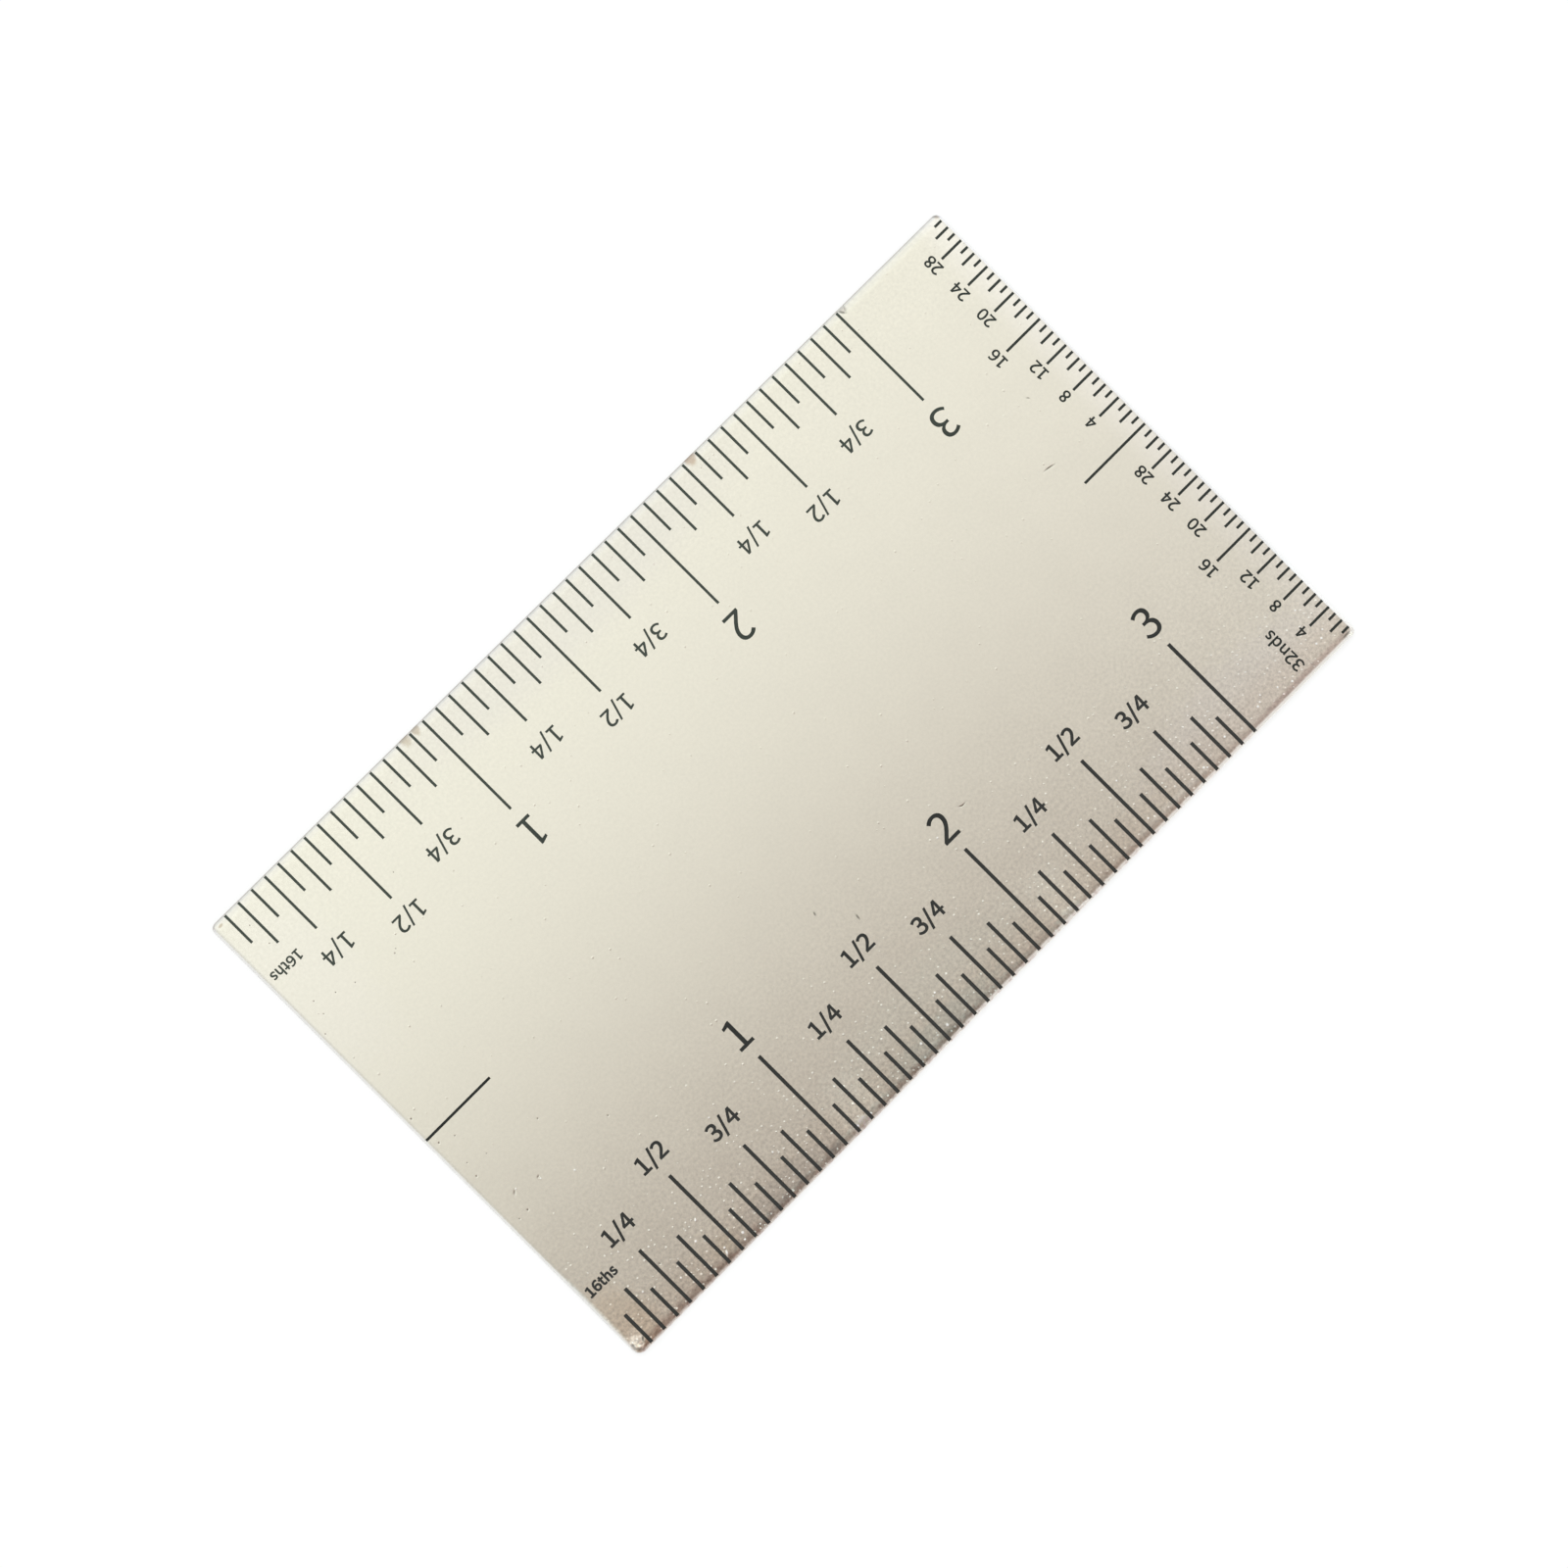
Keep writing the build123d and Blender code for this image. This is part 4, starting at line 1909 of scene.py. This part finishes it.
    def _edges(self, build: TreeBuilder, place: Place) -> tuple[Wire, Wire, Wire]:
        """Tint the steel along its edges, partly with painted shade, and paint a highlight on its
        rims.

        Args:
            build: The material's builder.
            place: The place on the plate.

        Returns:
            The colour, the share that has the painted rim highlight, and the roughness that the
            rims add.
        """
        zones, within = self.zones, place.within
        blotch = {"Vector": place.coords, "Scale": self.blotch_scale}
        blotch |= {"Detail": 4.0, "Roughness": 0.7}
        blotches = build.out("ShaderNodeTexNoise", blotch).ease(*self.blotch_edge)
        lower_growth = within(zones.wide_lower_rim) * self.rim_growth
        scale_growth = within(zones.wide_scale_rim) * self.rim_growth
        scale_rim = place.within_widened(zones.scale_rim, scale_growth)
        rim = place.within_widened(zones.lower_rim, lower_growth).at_least(scale_rim)
        bright = rim.at_least(within(zones.plain_rim))
        tints = [
            # Blotchy patina on the lower roll, partly painted reflected shade
            (within(zones.tarnished) * within(zones.tarnished_beyond) * blotches, self.tarnish),
            (within(zones.clean) * within(zones.clean_above), self.clean),
            # Painted highlight on the rims, brighter along part of the lower rim
            (bright, self.burnished),
            (rim * within(zones.polished) * within(zones.polished_below), self.polished),
        ]
        # Edge bands, whose dark lines at the upper edge and the ends are painted shade
        tints += [(within(band), band.tint) for band in BANDS]
        colour: Feed = self.colour
        for share, tint in tints:
            colour = build.vector("MULTIPLY", build.blend(share, WHITE, tint), colour)
        return colour, bright, bright.at_least(within(zones.rough_plain_rim)) * self.rim_roughness


@dataclass(frozen=True)
class BlackFill:
    """Finish of the fill in lines and figures: a dull green-black enamel.

    It is worn paler towards the lower edge and in the end scale, and it is paler towards the
    upper edge, partly from wear and partly as a painted reflection of the softbox. The spans
    lie across the plate, from -1 at the lower edge to 1 at the upper.
    """

    effects: Effects
    lower: Colour = (0.036, 0.037, 0.034)
    centre: Colour = (0.002, 0.005, 0.003)
    # Paler towards the upper edge: partly wear, partly a painted reflection of the softbox
    upper: Colour = (0.046, 0.059, 0.045)
    end_lower: Colour = (0.015, 0.02, 0.016)
    end_upper: Colour = (0.02, 0.028, 0.021)
    lower_half: Span = (-1.0, 0.0)
    upper_half: Span = (0.05, 0.7)
    along_end: Span = (-0.2, 0.8)
    end_zone: Zone = Zone(Edge.SCALE_END, 10.45, 7.95)
    fine_scale: float = 6000.0
    patch_scale: float = 3000.0
    patch_tone: Span = (0.7, 1.3)
    roughness: float = 0.4
    ior: float = 1.4
    grain_height: float = 2e-6

    def material(self) -> bpy.types.Material:
        """Build the material.

        Returns:
            The material.
        """
        material, build = new_material("black_fill_enamel")
        place = Place(build)
        grain = self.effects.grain.use(
            build, Vector=place.coords, Fine_Scale=self.fine_scale, Patch_Scale=self.patch_scale
        )
        half = PlateSizes().width / 2
        across = (place.reach[Edge.LOWER] - half) / half
        lower = build.blend(across.ease(*self.lower_half), self.lower, self.centre)
        main = build.blend(across.ease(*self.upper_half), lower, self.upper)
        end = build.blend(across.ease(*self.along_end), self.end_lower, self.end_upper)
        colour = build.blend(place.within(self.end_zone), main, end)
        enamel = {
            "Base Color": build.vector("SCALE", colour, grain["Patches"].span(*self.patch_tone)),
            "Roughness": self.roughness,
            "IOR": self.ior,
            "Normal": build.bump(grain["Height"], self.grain_height),
        }
        build.surface(build.out("ShaderNodeBsdfPrincipled", enamel))
        return material


# Camera, lights and floor


def stage_sheet(
    name: str, corners: Sequence[Point], level: float
) -> tuple[bpy.types.Object, TreeBuilder]:
    """Lay a level four-sided sheet, kept out of the part as studio furniture.

    Args:
        name: Its name, and its material's.
        corners: Its corners in the plan, in m.
        level: Its height, in m.

    Returns:
        The sheet, and its material's builder.
    """
    mesh = bpy.data.meshes.new(name)
    mesh.from_pydata([(x, y, level) for x, y in corners], [], [(0, 1, 2, 3)])
    sheet = linked(name, mesh)
    material, build = new_material(name)
    mesh.materials.append(material)
    return sheet, build


@dataclass(frozen=True)
class Softbox:
    """The large lamp over the upper long edge, in m, whose brightness is a radiance."""

    place: tuple[float, float, float] = (0.1615, 0.2131, 0.379)
    size: tuple[float, float] = (0.824, 0.337)
    turn: float = 0.2756
    radiance: Colour = (0.359, 0.443, 0.4245)

    def build(self) -> None:
        """Hang the softbox."""
        lamp = bpy.data.lights.new("softbox", "AREA")
        lamp.shape = "RECTANGLE"
        lamp.size, lamp.size_y = self.size
        lamp.energy = max(self.radiance) * math.pi * lamp.size * lamp.size_y
        lamp.color = [value / max(self.radiance) for value in self.radiance]
        holder = linked("softbox", lamp)
        holder.location = self.place
        holder.rotation_euler = (0.0, 0.0, self.turn)
        holder.visible_camera = False


@dataclass(frozen=True)
class ShadeCard:
    """The warm card over the lower long edge, seen only in the steel, in m."""

    height: float = 0.2015
    left: float = -0.0797
    right: float = 0.1004
    near_left: float = -0.0098
    near_right: float = -0.022
    far: float = -0.4
    colour: Colour = (0.238, 0.14, 0.119)

    def build(self) -> None:
        """Hang the card, which darkens the steel without any light or shadow."""
        corners = [
            (self.left, self.far),
            (self.right, self.far),
            (self.right, self.near_right),
            (self.left, self.near_left),
        ]
        sheet, build = stage_sheet("shade_card", corners, self.height)
        build.surface(build.out("ShaderNodeEmission", {"Color": (*self.colour, 1.0)}))
        for seen_by in ("camera", "diffuse", "shadow", "transmission"):
            setattr(sheet, f"visible_{seen_by}", False)


@dataclass(frozen=True)
class Studio:
    """The camera at the photograph's angle, the floor and the soft light.

    Angles are in degrees, the lens and its sensor in mm and the rest in m.
    """

    azimuth: float = -87.8706
    elevation: float = 76.1473
    roll: float = 42.856
    distance: float = 0.92403
    lens: float = 250.727
    sensor: float = 36.0
    clip: Span = (0.01, 100.0)
    aim: tuple[float, float, float] = (-0.000793, -0.000019, 0.0006)
    floor_size: float = 12.0
    floor_level: float = -0.00002
    floor_colour: Colour = (0.42, 0.42, 0.42)
    floor_glow: float = 0.675
    world_strength: float = 0.75
    softbox: Softbox = Softbox()
    card: ShadeCard = ShadeCard()

    def build(self) -> None:
        """Make the camera, the world, the lights and the floor."""
        self._camera()
        self._world()
        self.softbox.build()
        self.card.build()
        self._floor()
        bpy.context.scene.view_settings.view_transform = "Standard"

    def _camera(self) -> None:
        """Stand the camera where the photograph's perspective puts it."""
        data = bpy.data.cameras.new("camera")
        data.lens, data.sensor_width = self.lens, self.sensor
        data.clip_start, data.clip_end = self.clip
        stand = Matrix.Translation(self.aim)
        for angle, axis in ((self.azimuth, "Z"), (90 - self.elevation, "X"), (self.roll, "Z")):
            stand @= Matrix.Rotation(math.radians(angle), 4, axis)
        camera = linked("camera", data)
        camera.matrix_world = stand @ Matrix.Translation((0, 0, self.distance))
        bpy.context.scene.camera = camera

    def _seen_rays(self, build: TreeBuilder) -> Wire:
        """Tell the rays that see a surface from those that only light it.

        Args:
            build: The tree's builder.

        Returns:
            1 for a ray from the camera, off a gloss or through glass, and 0 for others.
        """
        ray = build.wires(build.node("ShaderNodeLightPath"))
        seen = ray["Is Camera Ray"].at_least(ray["Is Glossy Ray"])
        return seen.at_least(ray["Is Transmission Ray"])

    def _world(self) -> None:
        """White where it is seen, and a soft light elsewhere."""
        world = bpy.data.worlds.new("studio")
        bpy.context.scene.world = world
        world.use_nodes = True
        world.node_tree.nodes.clear()
        build = TreeBuilder(world.node_tree)
        strength = self._seen_rays(build).span(self.world_strength, 1.0)
        light = {"Color": (*WHITE, 1.0), "Strength": strength}
        build.node("ShaderNodeOutputWorld", {"Surface": build.out("ShaderNodeBackground", light)})

    def _floor(self) -> None:
        """Lay a plain white floor that keeps the ruler's shadow and is clear from below."""
        half = self.floor_size / 2
        corners = [(-half, -half), (half, -half), (half, half), (-half, half)]
        _, build = stage_sheet("studio_floor", corners, self.floor_level)
        lit = build.out("ShaderNodeBsdfDiffuse", {"Color": (*self.floor_colour, 1.0)})
        strength = self._seen_rays(build) * self.floor_glow
        glow = build.out("ShaderNodeEmission", {"Strength": strength})
        both = build.out("ShaderNodeAddShader", {0: lit, 1: glow})
        below = build.out("ShaderNodeNewGeometry", output="Backfacing")
        clear = build.out("ShaderNodeBsdfTransparent")
        build.surface(build.out("ShaderNodeMixShader", {0: below, 1: both, 2: clear}))


def main() -> None:
    """Build the ruler and the studio, and report each piece."""
    Studio().build()
    effects = Effects()
    steel = SatinSteel(effects).material()
    black = BlackFill(effects).material()
    sizes, section = PlateSizes(), LineSizes()
    legends = EndLettering().legends()
    for lettering in LETTERING:
        legends += lettering.legends()

    line_fill, line_outlines = ScaleLines(sizes, section).build(black)
    engraving = EngravedPlate(sizes, section)
    cut = engraving.plan(line_outlines, legends, wear_marks())
    plate = engraving.build(cut, steel)
    figure_fill = engraving.figure_fill(cut, black)

    for piece, slot in ((plate, "steel"), (line_fill, "black_fill"), (figure_fill, "black_fill")):
        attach(piece, "root")
        check = bmesh.new()
        check.from_mesh(piece.data)
        loose = sum(not edge.is_manifold for edge in check.edges)
        LOG.info("%s: %d faces, %d open edges", piece.name, len(check.faces), loose)
        check.free()
    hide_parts("ruler_plate")
    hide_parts("line_fill")

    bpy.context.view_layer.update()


if __name__ == "__main__":
    main()
